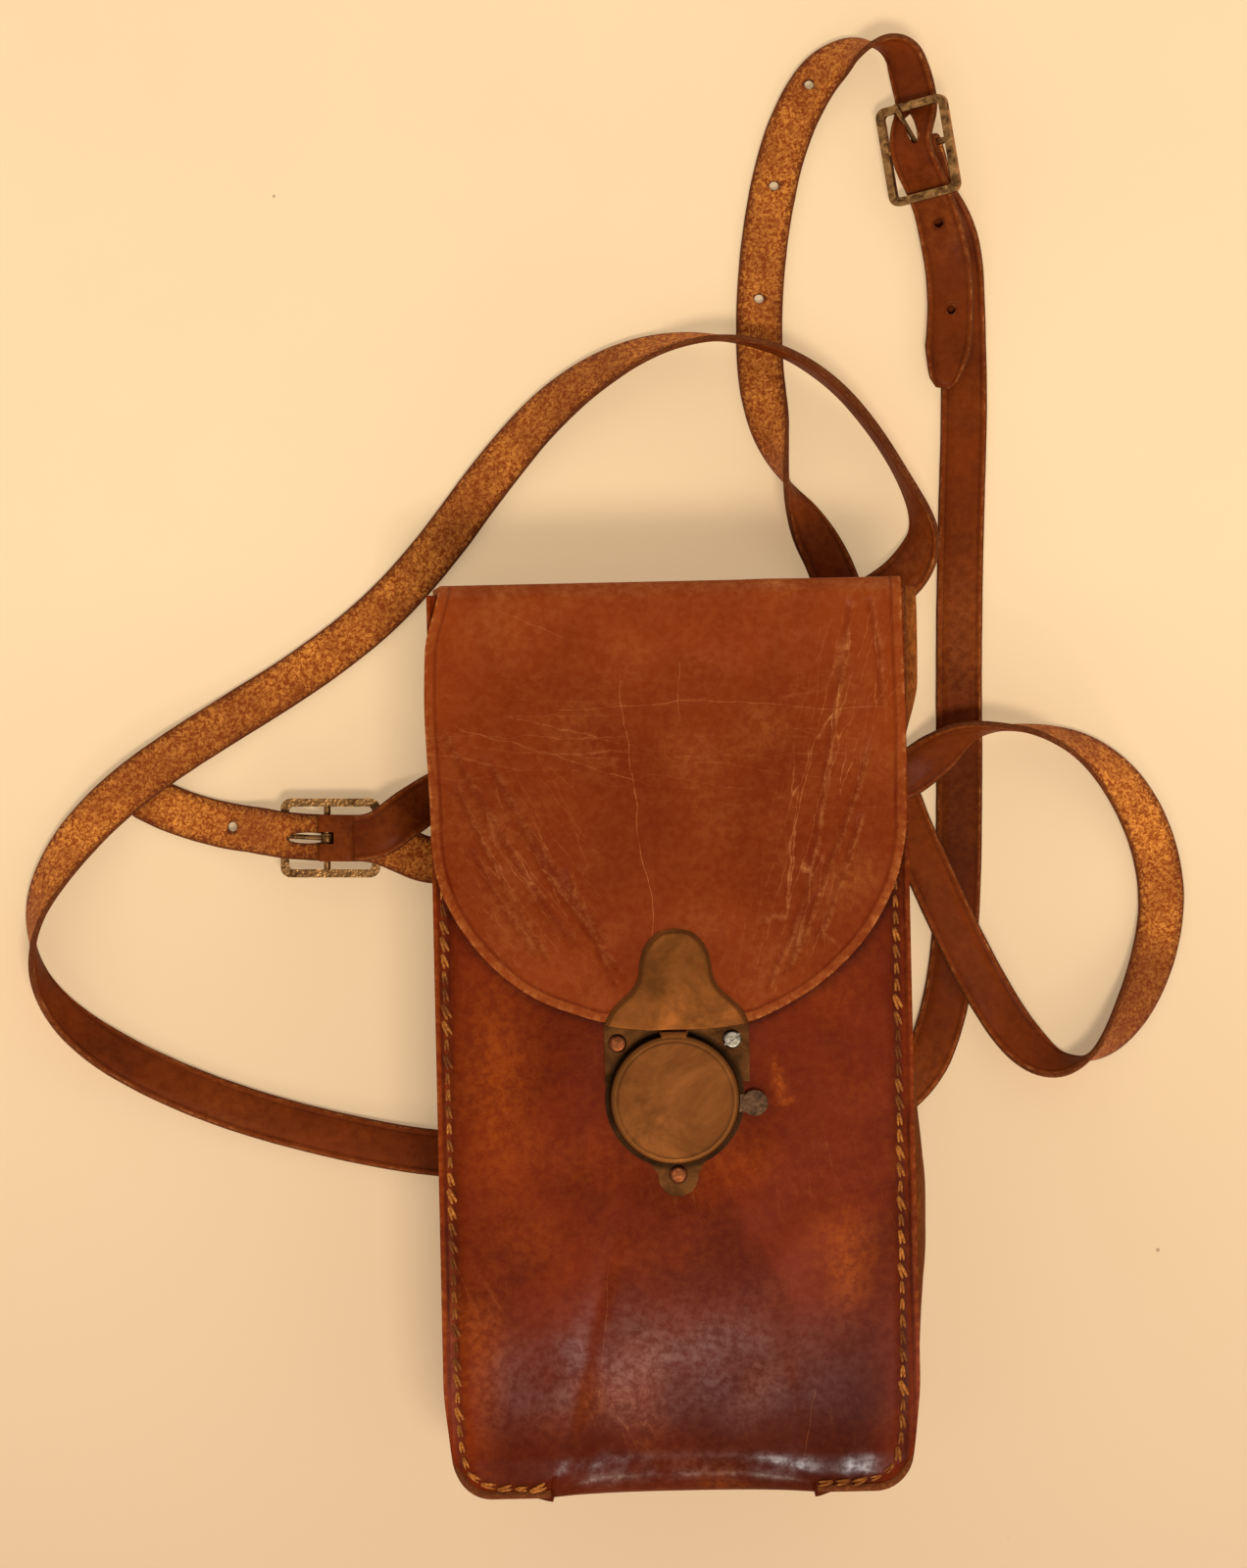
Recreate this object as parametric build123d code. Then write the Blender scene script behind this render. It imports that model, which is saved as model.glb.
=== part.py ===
from build123d import *
import math
import os

# A leather case for a folding camera, lying on its back with the flap closed.
# +Z leaves the front of the case, +Y runs towards its mouth and +X to its right.
# The origin is under the middle of the case, on the surface that it lies on.

# Overall sizes of the case, in millimetres
case_width = 134.0
case_height = 258.0
body_depth = 57.0
strap_space = 5.6

# Leather
wrap_leather = 2.4
gusset_leather = 2.0
flap_leather = 2.4
keeper_leather = 1.6
strap_width = 14.0
strap_leather = 2.2
corner_radius = 12.0
bottom_strip_width = 74.0
gusset_inset = 0.4
gusset_seam = 9.0
gusset_flange = 1.8
board_thickness = 2.0
board_gap = 0.4

# Clearances
hinge_gap = 0.3
flap_gap = 0.9
metal_gap = 0.3

# Seams
stitch_pitch = 5.8
stitch_length = 4.3
stitch_thread = 1.0
stitch_height = 0.5
seam_inset = 3.8

# Hasp on the flap, measured from the middle of the latch
latch_x = 0.6
hasp_to_disc = 1.0
hasp_thickness = 0.8
hasp_top_y = 31.3
hasp_bottom_y = 2.8
hasp_corner_y = 4.7
hasp_half_profile = [(28.8, 6.3), (25.0, 9.0), (20.9, 10.1), (17.5, 10.7), (14.4, 12.6), (11.6, 15.8), (8.6, 18.8)]
hasp_half_width = 20.2
hasp_lip_width = 17.0
stud_radius = 1.0
backing_thickness = 0.6

# Latch on the front of the case
disc_x = -0.2
disc_radius = 18.2
disc_y = hasp_bottom_y - hasp_to_disc - disc_radius
cup_height = 4.2
cup_wall = 0.9
cup_groove_radius = 16.0
base_thickness = 1.0
base_rim = 1.4
base_half_width = disc_radius + 2.1
base_top_y = hasp_bottom_y + 2.2
base_shoulder_y = disc_y + 4.4
base_ear_reach = 3.6
base_ear_y = disc_y - disc_radius - base_ear_reach
base_ear_radius = 5.6
bolt_width = 7.8
bolt_thickness = 0.7
bolt_travel = 2.4
bolt_clear = 0.3
tab_y = disc_y - 1.6
tab_thickness = 0.6
tab_travel = 3.0
tab_knob_x = disc_radius + 4.2
tab_knob_radius = 3.6
tab_neck_half = 2.5
pin_radius = 0.8
rivet_radius = 1.3
rivet_head = 2.6
rivet_rise = 1.1
rivet_clear = 1.55
screw_clear = 2.35

# Buckles
buckle_width = 23.4
buckle_short_side = 12.5
buckle_long_side = 14.5
buckle_bar = 2.4
buckle_thickness = 1.8
centre_bar_radius = 1.0
prong_radius = 0.75
prong_eye_radius = centre_bar_radius + 0.9
fold_leather = 1.4
fold_length = 9.0
fold_angle = 15.0
hole_radius = 1.4

# Heights and edges that follow from the sizes above
back_face = strap_space
front_face = back_face + body_depth
top_face = case_height / 2
bottom_face = -case_height / 2
hinge_y = top_face - flap_leather / 2
back_hinge_z = back_face + wrap_leather / 2
flap_under = front_face + flap_gap
front_hinge_z = flap_under + flap_leather / 2
fold_radius = flap_leather / 2
mouth_y = top_face - flap_leather - hinge_gap
inner_back = back_face + wrap_leather
inner_front = front_face - wrap_leather
hasp_under = flap_under + flap_leather
base_top = front_face + base_thickness
bolt_under = base_top + tab_thickness + 0.4
bolt_top = bolt_under + bolt_thickness

# Route of strap 1, from its fold on buckle 2 to its fold on buckle 1: x, y, z and roll in degrees.
# Roll 0 lies flat with the grain side up, 90 stands on edge and 180 shows the flesh side.
strap_1_route = [
    (81.7, 250.5, 6.9, 32), (83.4, 244.8, 5.5, 32), (87.6, 237.6, 4.3, 20), (90.8, 228.0, 2.4, 6),
    (91.3, 209.0, 1.3, 0), (91.4, 182.5, 1.2, 0), (89.4, 146.0, 1.2, 0), (87.9, 106.0, 1.2, 0),
    (87.3, 64.0, 1.2, 0), (85.6, 26.2, 1.3, 1), (81.1, 0.1, 1.9, 3), (72.5, -18.6, 3.7, 0),
    (50.3, -31.2, 3.7, 0), (13.8, -35.7, 3.7, 0), (-28.6, -38.3, 3.7, 0), (-67.9, -37.4, 3.5, 0),
    (-100.0, -31.1, 2.0, 4), (-131.9, -21.6, 2.3, 8), (-159.1, -9.2, 3.9, 20), (-177.4, 3.6, 6.3, 45),
    (-187.1, 17.0, 7.6, 75), (-189.4, 31.0, 7.6, 105), (-185.8, 44.6, 6.5, 135), (-176.4, 58.9, 5.0, 160),
    (-163.2, 72.0, 4.0, 178), (-147.8, 83.0, 3.5, 180), (-129.4, 94.3, 1.4, 180), (-107.3, 107.3, 1.2, 180),
    (-85.0, 123.5, 1.2, 180), (-67.0, 142.7, 1.2, 180), (-50.4, 164.7, 1.9, 175), (-33.0, 184.3, 3.8, 160),
    (-14.7, 197.1, 6.2, 140), (4.4, 203.6, 9.2, 112), (23.2, 203.6, 10.8, 92), (39.0, 198.6, 10.8, 88),
    (52.9, 189.0, 8.6, 85), (63.9, 175.7, 7.4, 85), (72.9, 160.4, 7.4, 85), (78.4, 146.9, 7.2, 65),
    (76.6, 137.8, 5.8, 30), (68.9, 128.7, 3.8, 2), (50.7, 119.8, 3.85, 0), (18.4, 106.5, 2.7, 0),
    (-19.9, 91.1, 1.3, 0), (-46.4, 79.7, 1.6, 0), (-62.0, 72.9, 2.2, 0), (-70.5, 69.2, 3.8, 0),
    (-78.2, 63.9, 12.3, 0), (-86.0, 57.8, 12.95, 0), (-92.6, 57.9, 11.15, 0),
]

# Route of strap 2, from the tip beside buckle 2 to the tip beyond buckle 1.
# It turns over once in the narrow room behind the case, where it is squeezed.
strap_2_route = [
    (84.6, 187.9, 3.9, 0), (86.5, 198.3, 3.9, 0), (87.7, 210.5, 3.9, 0), (87.3, 223.0, 4.9, -5),
    (85.0, 234.5, 6.9, -20), (82.4, 244.5, 7.0, -32), (76.5, 254.8, 14.2, -32), (75.6, 260.9, 14.1, -32),
    (79.0, 271.5, 6.4, -32), (76.8, 281.0, 6.9, -34), (74.8, 287.1, 7.3, -48), (69.6, 290.0, 8.0, -80),
    (63.5, 289.6, 7.7, -112), (56.6, 287.0, 5.6, -145), (47.9, 279.9, 2.8, -170), (38.9, 262.0, 1.2, -180),
    (33.3, 237.8, 1.2, -180),
    (30.7, 214.5, 1.2, -180), (30.5, 194.0, 1.8, -178), (32.7, 179.0, 4.9, -150), (35.5, 167.0, 7.5, -110),
    (38.8, 156.8, 7.5, -70), (43.4, 148.2, 4.9, -30), (50.6, 135.7, 1.6, 0), (56.1, 117.5, 1.2, 0),
    (61.4, 95.4, 1.2, 0), (66.0, 74.9, 1.6, 0), (71.6, 57.8, 3.3, 0), (77.6, 44.0, 4.3, 0),
    (84.5, 27.8, 4.4, 0), (92.5, 11.1, 4.3, 0), (102.4, -5.6, 3.8, -10), (112.2, -14.3, 6.6, -50),
    (123.7, -12.7, 7.7, -100), (134.1, -3.2, 5.8, -140), (142.7, 12.8, 3.2, -165), (147.4, 32.2, 1.7, -178),
    (145.2, 50.6, 1.8, -178), (137.6, 67.2, 3.7, -160), (125.9, 79.4, 6.5, -130), (111.3, 85.7, 8.4, -100),
    (96.0, 86.9, 10.1, -85), (86.6, 84.6, 9.0, -55), (79.6, 78.7, 5.4, -14), (69.5, 71.4, 3.7, 0),
    (45.5, 64.1, 3.7, 0), (24.0, 60.6, 3.6, 0), (11.5, 59.3, 3.2, 0), (4.3, 58.5, 3.0, -45),
    (-4.0, 57.7, 2.9, -90), (-12.3, 56.7, 3.0, -135), (-20.0, 55.7, 3.2, -180), (-34.0, 53.9, 3.7, -180),
    (-52.0, 51.4, 3.7, -180), (-70.4, 50.0, 4.1, -180), (-79.4, 54.4, 7.2, -180), (-86.1, 57.7, 11.2, -180),
    (-97.7, 58.0, 2.3, -180), (-104.1, 58.2, 2.3, -180), (-113.3, 59.2, 11.1, -180), (-121.5, 60.8, 5.6, -180),
    (-131.0, 62.2, 1.5, -180), (-143.2, 65.7, 1.2, -180), (-154.8, 70.9, 1.2, -180), (-165.8, 77.3, 1.2, -180),
]
squeeze_centre = (-4.0, 57.7)
squeeze_level = 17.0
squeeze_reach = 44.0
squeeze_width = 4.4
tip_taper = 12.0
tip_width = 4.0

# Punched holes of strap 2: where they are along x and y, and the height of the strap there
strap_2_holes = [(84.3, 236.4, 7.4), (87.6, 211.0, 4.0), (47.0, 279.1, 2.6), (36.0, 249.5, 1.2),
                 (30.8, 215.9, 1.2), (-129.3, 62.0, 1.9)]

os.makedirs("parts", exist_ok=True)


def save(shape, name):
    """Write one named piece."""
    shape.label = name
    export_step(shape, "parts/" + name + ".step")


def slab(sketch, low, high):
    """A flat sketch as a solid between two heights."""
    return extrude(Pos(0, 0, low) * sketch, high - low)


def body_plan(half_width, low_y, high_y, radius):
    """Plan of the case: square at the mouth and rounded at the bottom corners."""
    plan = Pos(0, (low_y + high_y) / 2) * Rectangle(2 * half_width, high_y - low_y)
    corners = plan.vertices().sort_by(Axis.Y)[:2]
    return fillet(corners, radius)


def rivet_places():
    """Left rivet, bottom rivet and, last, the screw at the right."""
    left = (disc_radius + rivet_head + rivet_clear) * math.sqrt(0.5)
    right = (disc_radius + rivet_head + screw_clear) * math.sqrt(0.5)
    return [(disc_x - left, disc_y + left), (disc_x + 0.5, base_ear_y + 0.5), (disc_x + right, disc_y + right)]


def cylinder_at(x, y, radius, low, high):
    """An upright round bar between two heights."""
    return Pos(x, y, low) * Cylinder(radius, high - low, align=(Align.CENTER, Align.CENTER, Align.MIN))


def box_between(low, high):
    """A box given by two opposite corners."""
    size = [b - a for a, b in zip(low, high)]
    middle = [(a + b) / 2 for a, b in zip(low, high)]
    return Pos(*middle) * Box(*size)


def make_wrap():
    """Front, narrow bottom strip and back, cut as one piece of leather."""
    half = case_width / 2
    front = slab(body_plan(half, bottom_face, mouth_y, corner_radius), inner_front, front_face)
    back_end = hinge_y - fold_radius - hinge_gap
    back = slab(body_plan(half, bottom_face, back_end, corner_radius), back_face, inner_back)
    strip_half = bottom_strip_width / 2
    strip = box_between((-strip_half, bottom_face, back_face), (strip_half, bottom_face + wrap_leather, front_face))
    wrap = front + back + strip
    for x, y in rivet_places():
        wrap -= cylinder_at(x, y, rivet_radius, inner_front - 1, front_face + 1)
    return wrap


def gusset_ring(depth):
    """Plan of both gussets together: a band of the given depth inside the case's outline."""
    outer_half = case_width / 2 - gusset_inset
    low = bottom_face + gusset_inset
    outer = body_plan(outer_half, low, mouth_y, corner_radius)
    inner_radius = max(corner_radius - depth, 1.0)
    inner = body_plan(outer_half - depth, low + depth, mouth_y + depth, inner_radius)
    return outer - inner


def make_gusset(side):
    """One gusset: a web with a seam flange under the front and another over the back."""
    web = slab(gusset_ring(gusset_leather), inner_back, inner_front)
    under_front = slab(gusset_ring(gusset_seam), inner_front - gusset_flange, inner_front)
    over_back = slab(gusset_ring(gusset_seam), inner_back, inner_back + gusset_flange)
    both = web + under_front + over_back
    start = bottom_strip_width / 2 + hinge_gap
    keep = box_between((start, bottom_face - 1, 0), (case_width, top_face, front_face))
    if side < 0:
        keep = mirror(keep, Plane.YZ)
    return both & keep


def make_bottom_board():
    """Stiff board that lies inside the bottom, between the seam flanges."""
    low = bottom_face + gusset_inset + gusset_leather + board_gap
    half = case_width / 2 - gusset_inset - corner_radius
    first = inner_back + gusset_flange + board_gap
    last = inner_front - gusset_flange - board_gap
    return box_between((-half, low, first), (half, low + board_thickness, last))


def make_flap_top():
    """Part of the flap that closes the mouth, from the back fold to the front fold."""
    half = case_width / 2 - 0.5
    high = front_hinge_z - fold_radius - hinge_gap
    sheet = box_between((-half, top_face - flap_leather, back_hinge_z), (half, top_face, high))
    roll = Pos(0, hinge_y, back_hinge_z) * Rot(0, 90, 0) * Cylinder(fold_radius, 2 * half)
    return sheet + roll


def flap_front_plan():
    """Outline of the flap on the front: straight sides and a round tongue."""
    half = case_width / 2 - 0.5
    side = [(59.0, 34.5), (44.5, 17.3), (24.0, 8.4)]
    points = [(-half, 57.0)] + [(-x, y) for x, y in side] + [(0, 6.0)]
    points += list(reversed(side)) + [(half, 57.0)]
    curve = Spline(*points, tangents=[(0, -1), (0, 1)])
    edges = [curve, Line((half, 57.0), (half, hinge_y)), Line((half, hinge_y), (-half, hinge_y)),
             Line((-half, hinge_y), (-half, 57.0))]
    return make_face(edges)


def stud_places():
    """Studs of the hasp that pass through the flap."""
    return [(latch_x - 8.0, 13.5), (latch_x + 8.0, 13.5), (latch_x, 25.0)]


def backing_plan(extra):
    """Plan of the plate that clinches the studs inside the flap."""
    return Pos(latch_x, 18.5) * RectangleRounded(24 + 2 * extra, 19 + 2 * extra, 4)


def make_flap_front():
    """Part of the flap that lies on the front."""
    half = case_width / 2 - 0.5
    sheet = slab(flap_front_plan(), flap_under, flap_under + flap_leather)
    roll = Pos(0, hinge_y, front_hinge_z) * Rot(0, 90, 0) * Cylinder(fold_radius, 2 * half)
    flap = sheet + roll
    flap -= slab(backing_plan(0.05), flap_under - 1, flap_under + backing_thickness)
    for x, y in stud_places():
        flap -= cylinder_at(x, y, stud_radius, flap_under, hasp_under + 1)
    return flap


def make_hasp_backing():
    """Plate inside the flap, with a hole for each stud."""
    plate = slab(backing_plan(0), flap_under, flap_under + backing_thickness)
    for x, y in stud_places():
        plate -= cylinder_at(x, y, stud_radius, flap_under - 1, hasp_under)
    return plate


def make_hasp_studs():
    """Studs from the hasp to its backing plate."""
    return Compound(children=[cylinder_at(x, y, stud_radius, flap_under, hasp_under) for x, y in stud_places()])


def hasp_plan():
    """Bell outline of the hasp, the same on both sides of its middle."""
    right = [(latch_x + half, y) for y, half in hasp_half_profile]
    left = [(latch_x - half, y) for y, half in reversed(hasp_half_profile)]
    start = (latch_x - hasp_half_width, hasp_corner_y)
    end = (latch_x + hasp_half_width, hasp_corner_y)
    bell = Spline(start, *left, (latch_x, hasp_top_y), *right, end)
    foot = ThreePointArc(end, (latch_x, hasp_bottom_y), start)
    return make_face([bell, foot])


def make_hasp_plate():
    """Hasp with its edge turned down, and the slot in that lip for the bolt."""
    plate = slab(hasp_plan(), hasp_under, hasp_under + hasp_thickness)
    lip_low = base_top + metal_gap
    lip_half = hasp_lip_width / 2
    lip_y = hasp_bottom_y + 0.2
    lip = box_between((latch_x - lip_half, lip_y, lip_low), (latch_x + lip_half, lip_y + hasp_thickness, hasp_under))
    slot_half = bolt_width / 2 + bolt_clear
    slot = box_between((disc_x - slot_half, lip_y - 1, bolt_under - 0.15),
                       (disc_x + slot_half, lip_y + hasp_thickness + 1, bolt_top + 0.15))
    return plate + lip - slot


def make_base_plate():
    """Base plate of the latch: square shoulders, round sides and an ear below."""
    shoulders = Pos(latch_x, (base_shoulder_y + base_top_y) / 2) * Rectangle(
        2 * base_half_width, base_top_y - base_shoulder_y)
    round_part = Pos(disc_x, disc_y) * Circle(disc_radius + base_rim)
    ear = Pos(disc_x + 0.5, base_ear_y) * Circle(base_ear_radius)
    web_half = 0.6 * disc_radius
    web_y = disc_y - 0.7 * disc_radius
    web_points = [(disc_x - web_half, web_y), (disc_x + web_half, web_y),
                  (disc_x + 5.8, base_ear_y), (disc_x - 4.8, base_ear_y)]
    web = make_face(Polyline(*web_points, close=True))
    plate = slab(shoulders + round_part + ear + web, front_face, base_top)
    for x, y in rivet_places():
        plate -= cylinder_at(x, y, rivet_radius, front_face - 1, base_top + 1)
    return plate


def make_cup():
    """Round cup over the works, open where the bolt and the tab leave it."""
    high = base_top + cup_height
    outer = cylinder_at(disc_x, disc_y, disc_radius, base_top, high)
    rim = outer.edges().filter_by(GeomType.CIRCLE).sort_by(Axis.Z)[-1]
    outer = fillet(rim, 1.5)
    cup = outer - cylinder_at(disc_x, disc_y, disc_radius - cup_wall, base_top - 1, high - cup_wall)
    groove = cylinder_at(disc_x, disc_y, cup_groove_radius + 0.6, high - 0.25, high + 1)
    groove -= cylinder_at(disc_x, disc_y, cup_groove_radius, high - 1, high + 2)
    cup -= groove
    nose_half = bolt_width / 2 + bolt_clear
    cup -= box_between((disc_x - nose_half, disc_y + 5, bolt_under - metal_gap),
                       (disc_x + nose_half, disc_y + disc_radius + 5, bolt_top + metal_gap))
    tab_half = tab_knob_radius + metal_gap
    cup -= box_between((disc_x + 5, tab_y - tab_half, base_top - 1),
                       (disc_x + disc_radius + 5, tab_y + tab_half, base_top + tab_thickness + 1.1))
    return cup


def bolt_tip_y():
    """Front of the bolt when it is drawn back, just short of the hasp's lip."""
    return hasp_bottom_y + 0.2 - metal_gap


def pin_place():
    """Pin of the bolt when the bolt is drawn back."""
    return (disc_x - tab_travel / 2, tab_y - bolt_travel / 2)


def make_bolt():
    """Sliding bolt with its drive pin."""
    half = bolt_width / 2
    x, y = pin_place()
    bar = box_between((disc_x - half, y - 2, bolt_under), (disc_x + half, bolt_tip_y(), bolt_top))
    pin = cylinder_at(x, y, pin_radius, base_top + metal_gap / 2, bolt_under + bolt_thickness / 2)
    return bar + pin


def make_tab():
    """Side tab with the slanted slot that drives the bolt's pin."""
    low = base_top + 0.1
    reach = disc_x + tab_knob_x
    blade = box_between((disc_x - 7, tab_y - 4.6, low), (disc_x + 9, tab_y + 4.6, low + tab_thickness))
    neck = box_between((disc_x + 8, tab_y - tab_neck_half, low), (reach, tab_y + tab_neck_half, low + tab_thickness))
    knob = cylinder_at(reach, tab_y, tab_knob_radius, low, low + 2 * tab_thickness)
    length = math.hypot(tab_travel, bolt_travel)
    angle = math.degrees(math.atan2(bolt_travel, tab_travel))
    slot = Pos(disc_x, tab_y) * Rot(0, 0, angle) * SlotCenterToCenter(length, 2 * (pin_radius + bolt_clear))
    return blade + neck + knob - slab(slot, low - 1, low + 2)


def make_guides():
    """Two guides that carry the bolt on the base plate."""
    inner = bolt_width / 2 + bolt_clear
    pieces = []
    for side in (-1, 1):
        outer_x = disc_x + side * (inner + 2)
        wall_x = disc_x + side * inner
        ledge_x = disc_x + side * (inner - 1.6)
        wall = box_between((min(outer_x, wall_x), -9, base_top), (max(outer_x, wall_x), -3, bolt_top))
        ledge = box_between((min(outer_x, ledge_x), -9, base_top), (max(outer_x, ledge_x), -3, bolt_under - 0.15))
        pieces.append(wall + ledge)
    return Compound(children=pieces)


def make_latch_spring():
    """Leaf spring that steadies the bolt from the side, with its post."""
    side = disc_x - bolt_width / 2
    post = cylinder_at(side - 7.5, -11.5, 0.9, base_top, bolt_top + 0.6)
    leaf = box_between((side - 7.5, -11.7, bolt_under), (side - bolt_clear, -11.3, bolt_top))
    return post + leaf


def make_rivets():
    """Two brass rivets, domed outside and set over a washer inside."""
    pieces = []
    for x, y in rivet_places()[:2]:
        head = cylinder_at(x, y, rivet_head, base_top, base_top + rivet_rise)
        crown = head.edges().filter_by(GeomType.CIRCLE).sort_by(Axis.Z)[-1]
        head = fillet(crown, rivet_rise * 0.85)
        shank = cylinder_at(x, y, rivet_radius, inner_front - 1.3, base_top)
        tail = cylinder_at(x, y, rivet_radius + 0.9, inner_front - 1.3, inner_front - 0.6)
        pieces.append(head + shank + tail)
    return Compound(children=pieces)


def make_screw():
    """Replacement screw at the right, with a slotted head and a nut inside."""
    x, y = rivet_places()[2]
    head = cylinder_at(x, y, rivet_head, base_top, base_top + rivet_rise)
    crown = head.edges().filter_by(GeomType.CIRCLE).sort_by(Axis.Z)[-1]
    head = fillet(crown, rivet_rise * 0.6)
    slot = Pos(x, y, base_top + rivet_rise) * Rot(0, 0, 35) * Box(2 * rivet_head + 1, 0.7, 0.9)
    shank = cylinder_at(x, y, rivet_radius, inner_front - 2.6, base_top)
    return head - slot + shank


def make_screw_nut():
    """Nut of the replacement screw."""
    x, y = rivet_places()[2]
    hexagon = Pos(x, y) * (RegularPolygon(2.9, 6) - Circle(rivet_radius))
    return slab(hexagon, inner_front - 2.4, inner_front - 0.6)


def make_washers():
    """Washers between the leather and the set ends inside."""
    rings = [Pos(x, y) * (Circle(4.0) - Circle(rivet_radius)) for x, y in rivet_places()]
    return Compound(children=[slab(ring, inner_front - 0.6, inner_front) for ring in rings])


def seam_places():
    """Middle and angle of each stitch of the right side seam, from the mouth to the bottom strip."""
    side_x = case_width / 2 - seam_inset
    low_y = bottom_face + seam_inset
    radius = corner_radius - seam_inset
    top = mouth_y - 6.0
    straight = top - (low_y + radius)
    bend = radius * math.pi / 2
    foot = side_x - radius - (bottom_strip_width / 2 + 3)
    places = []
    count = int((straight + bend + foot) / stitch_pitch)
    for index in range(count):
        along = (index + 0.5) * stitch_pitch
        if along < straight:
            places.append((side_x, top - along, 90))
        elif along < straight + bend:
            turn = (along - straight) / radius
            x = side_x - radius + radius * math.cos(turn)
            y = low_y + radius - radius * math.sin(turn)
            places.append((x, y, 90 - math.degrees(turn)))
        else:
            places.append((side_x - radius - (along - straight - bend), low_y, 0))
    return places


def make_stitches(low, high):
    """Stitches of both side seams on one face of the case."""
    thread = []
    for x, y, angle in seam_places():
        for side in (-1, 1):
            place = Pos(side * x, y, (low + high) / 2) * Rot(0, 0, side * angle)
            thread.append(place * Box(stitch_length, stitch_thread, high - low))
    return Compound(children=thread)


def keeper_places():
    """Middle of each keeper: the lower pair holds strap 1 and the upper pair strap 2."""
    return {"back_keeper_lower_right": (38.0, -32.8), "back_keeper_lower_left": (-38.0, -38.0),
            "back_keeper_upper_right": (38.0, 62.6), "back_keeper_upper_left": (-42.0, 52.8)}


keeper_width = 12.0
keeper_half = 18.0


def make_keeper(x, y):
    """Leather loop sewn on the back, which holds a strap and is the foot of the case."""
    foot = back_face - keeper_leather
    inner = strap_width / 2 + 1.4
    outline = [(-keeper_half, foot), (-inner - 3.2, foot), (-inner - 0.8, 0), (inner + 0.8, 0),
               (inner + 3.2, foot), (keeper_half, foot), (keeper_half, back_face), (inner + 2.2, back_face),
               (inner, keeper_leather), (-inner, keeper_leather), (-inner - 2.2, back_face),
               (-keeper_half, back_face)]
    profile = make_face(Polyline(*outline, close=True))
    profile = Plane.YZ * profile
    return Pos(x - keeper_width / 2, y, 0) * extrude(profile, keeper_width)


def make_keeper_stitches():
    """Stitches on the feet of the keepers."""
    high = back_face - keeper_leather
    thread = []
    for x, y in keeper_places().values():
        for end in (-1, 1):
            for across in (-1, 0, 1):
                middle = (x + across * 3.6, y + end * (keeper_half - 2.2), high - stitch_height / 2)
                thread.append(Pos(*middle) * Box(2.8, stitch_thread, stitch_height))
    return Compound(children=thread)


def buckle_place(x, y, z, heading, roll):
    """Frame of a buckle: its first axis runs to the prong's bar and its third out of its face."""
    return Location((x, y, z), (0, 0, heading)) * Location((0, 0, 0), (roll, 0, 0))


buckle_1_place = buckle_place(-100.9, 58.1, 6.8, 178.75, 180)
buckle_2_place = buckle_place(78.3, 258.5, 10.5, 98.2, -32)


def make_buckle_frame(place):
    """Rectangular frame with a centre bar."""
    length = buckle_short_side + buckle_long_side + buckle_bar
    middle = (buckle_short_side - buckle_long_side) / 2
    outer = Pos(middle, 0) * RectangleRounded(length, buckle_width, 3.0)
    inner = Pos(middle, 0) * RectangleRounded(length - 2 * buckle_bar, buckle_width - 2 * buckle_bar, 1.2)
    ring = slab(outer - inner, -buckle_thickness / 2, buckle_thickness / 2)
    bar = Rot(90, 0, 0) * Cylinder(centre_bar_radius, buckle_width - 1.5 * buckle_bar)
    return place * (ring + bar)


def make_prong(place, skew):
    """Prong: an eye round the centre bar and a pin that rests on the end bar."""
    eye = Rot(90, 0, 0) * (Cylinder(prong_eye_radius, 2.4) - Cylinder(centre_bar_radius + 0.15, 3))
    start = Vector(1.35, 0, 0.9)
    end = Vector(buckle_short_side + 1.0, skew, buckle_thickness / 2 + prong_radius + 0.15)
    run = end - start
    pin = Plane(origin=start, z_dir=run) * Cylinder(prong_radius, run.length, align=(
        Align.CENTER, Align.CENTER, Align.MIN))
    return place * (eye + pin - Rot(90, 0, 0) * Cylinder(centre_bar_radius + 0.15, 3))


def make_fold(place):
    """End of strap 1, folded round the centre bar and slotted for the prong's eye."""
    inner = centre_bar_radius + 0.3
    outer = inner + fold_leather
    ring = Cylinder(outer, strap_width) - Cylinder(inner, strap_width + 1)
    ring = Rot(90, 0, 0) * ring
    tail = box_between((-fold_length, -strap_width / 2, -outer), (0, strap_width / 2, -inner))
    slot_half = 1.7
    slot_end = prong_eye_radius + 0.4
    slot = box_between((-slot_end, -slot_half, -outer - 1), (outer + 1, slot_half, outer + 1))
    fold = ring + tail - slot
    return place * Rot(0, -fold_angle, 0) * fold


def unit(vector):
    """The same direction with length 1."""
    return vector * (1 / vector.length)


def route_stations(route):
    """Stations along straight runs joined by tangent arcs, with the radius of each arc."""
    points = [Vector(x, y, z) for x, y, z, roll in route]
    rolls = [roll for x, y, z, roll in route]
    share = 0.45
    stations = [(points[0], unit(points[1] - points[0]), rolls[0])]
    radii = []
    for index in range(1, len(points) - 1):
        before = points[index] - points[index - 1]
        after = points[index + 1] - points[index]
        entry, leave = unit(before), unit(after)
        turn = math.radians(entry.get_angle(leave))
        reach = share * min(before.length, after.length)
        radius = reach / math.tan(turn / 2)
        radii.append(radius)
        across = unit(leave - entry * entry.dot(leave))
        start = points[index] - entry * reach
        first = rolls[index] + (rolls[index - 1] - rolls[index]) * reach / before.length
        last = rolls[index] + (rolls[index + 1] - rolls[index]) * reach / after.length
        steps = max(2, math.ceil(math.degrees(turn) / 12))
        for step in range(steps + 1):
            angle = turn * step / steps
            place = start + entry * (radius * math.sin(angle)) + across * (radius * (1 - math.cos(angle)))
            heading = entry * math.cos(angle) + across * math.sin(angle)
            stations.append((place, heading, first + (last - first) * step / steps))
    stations.append((points[-1], unit(points[-1] - points[-2]), rolls[-1]))
    return stations, radii


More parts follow.
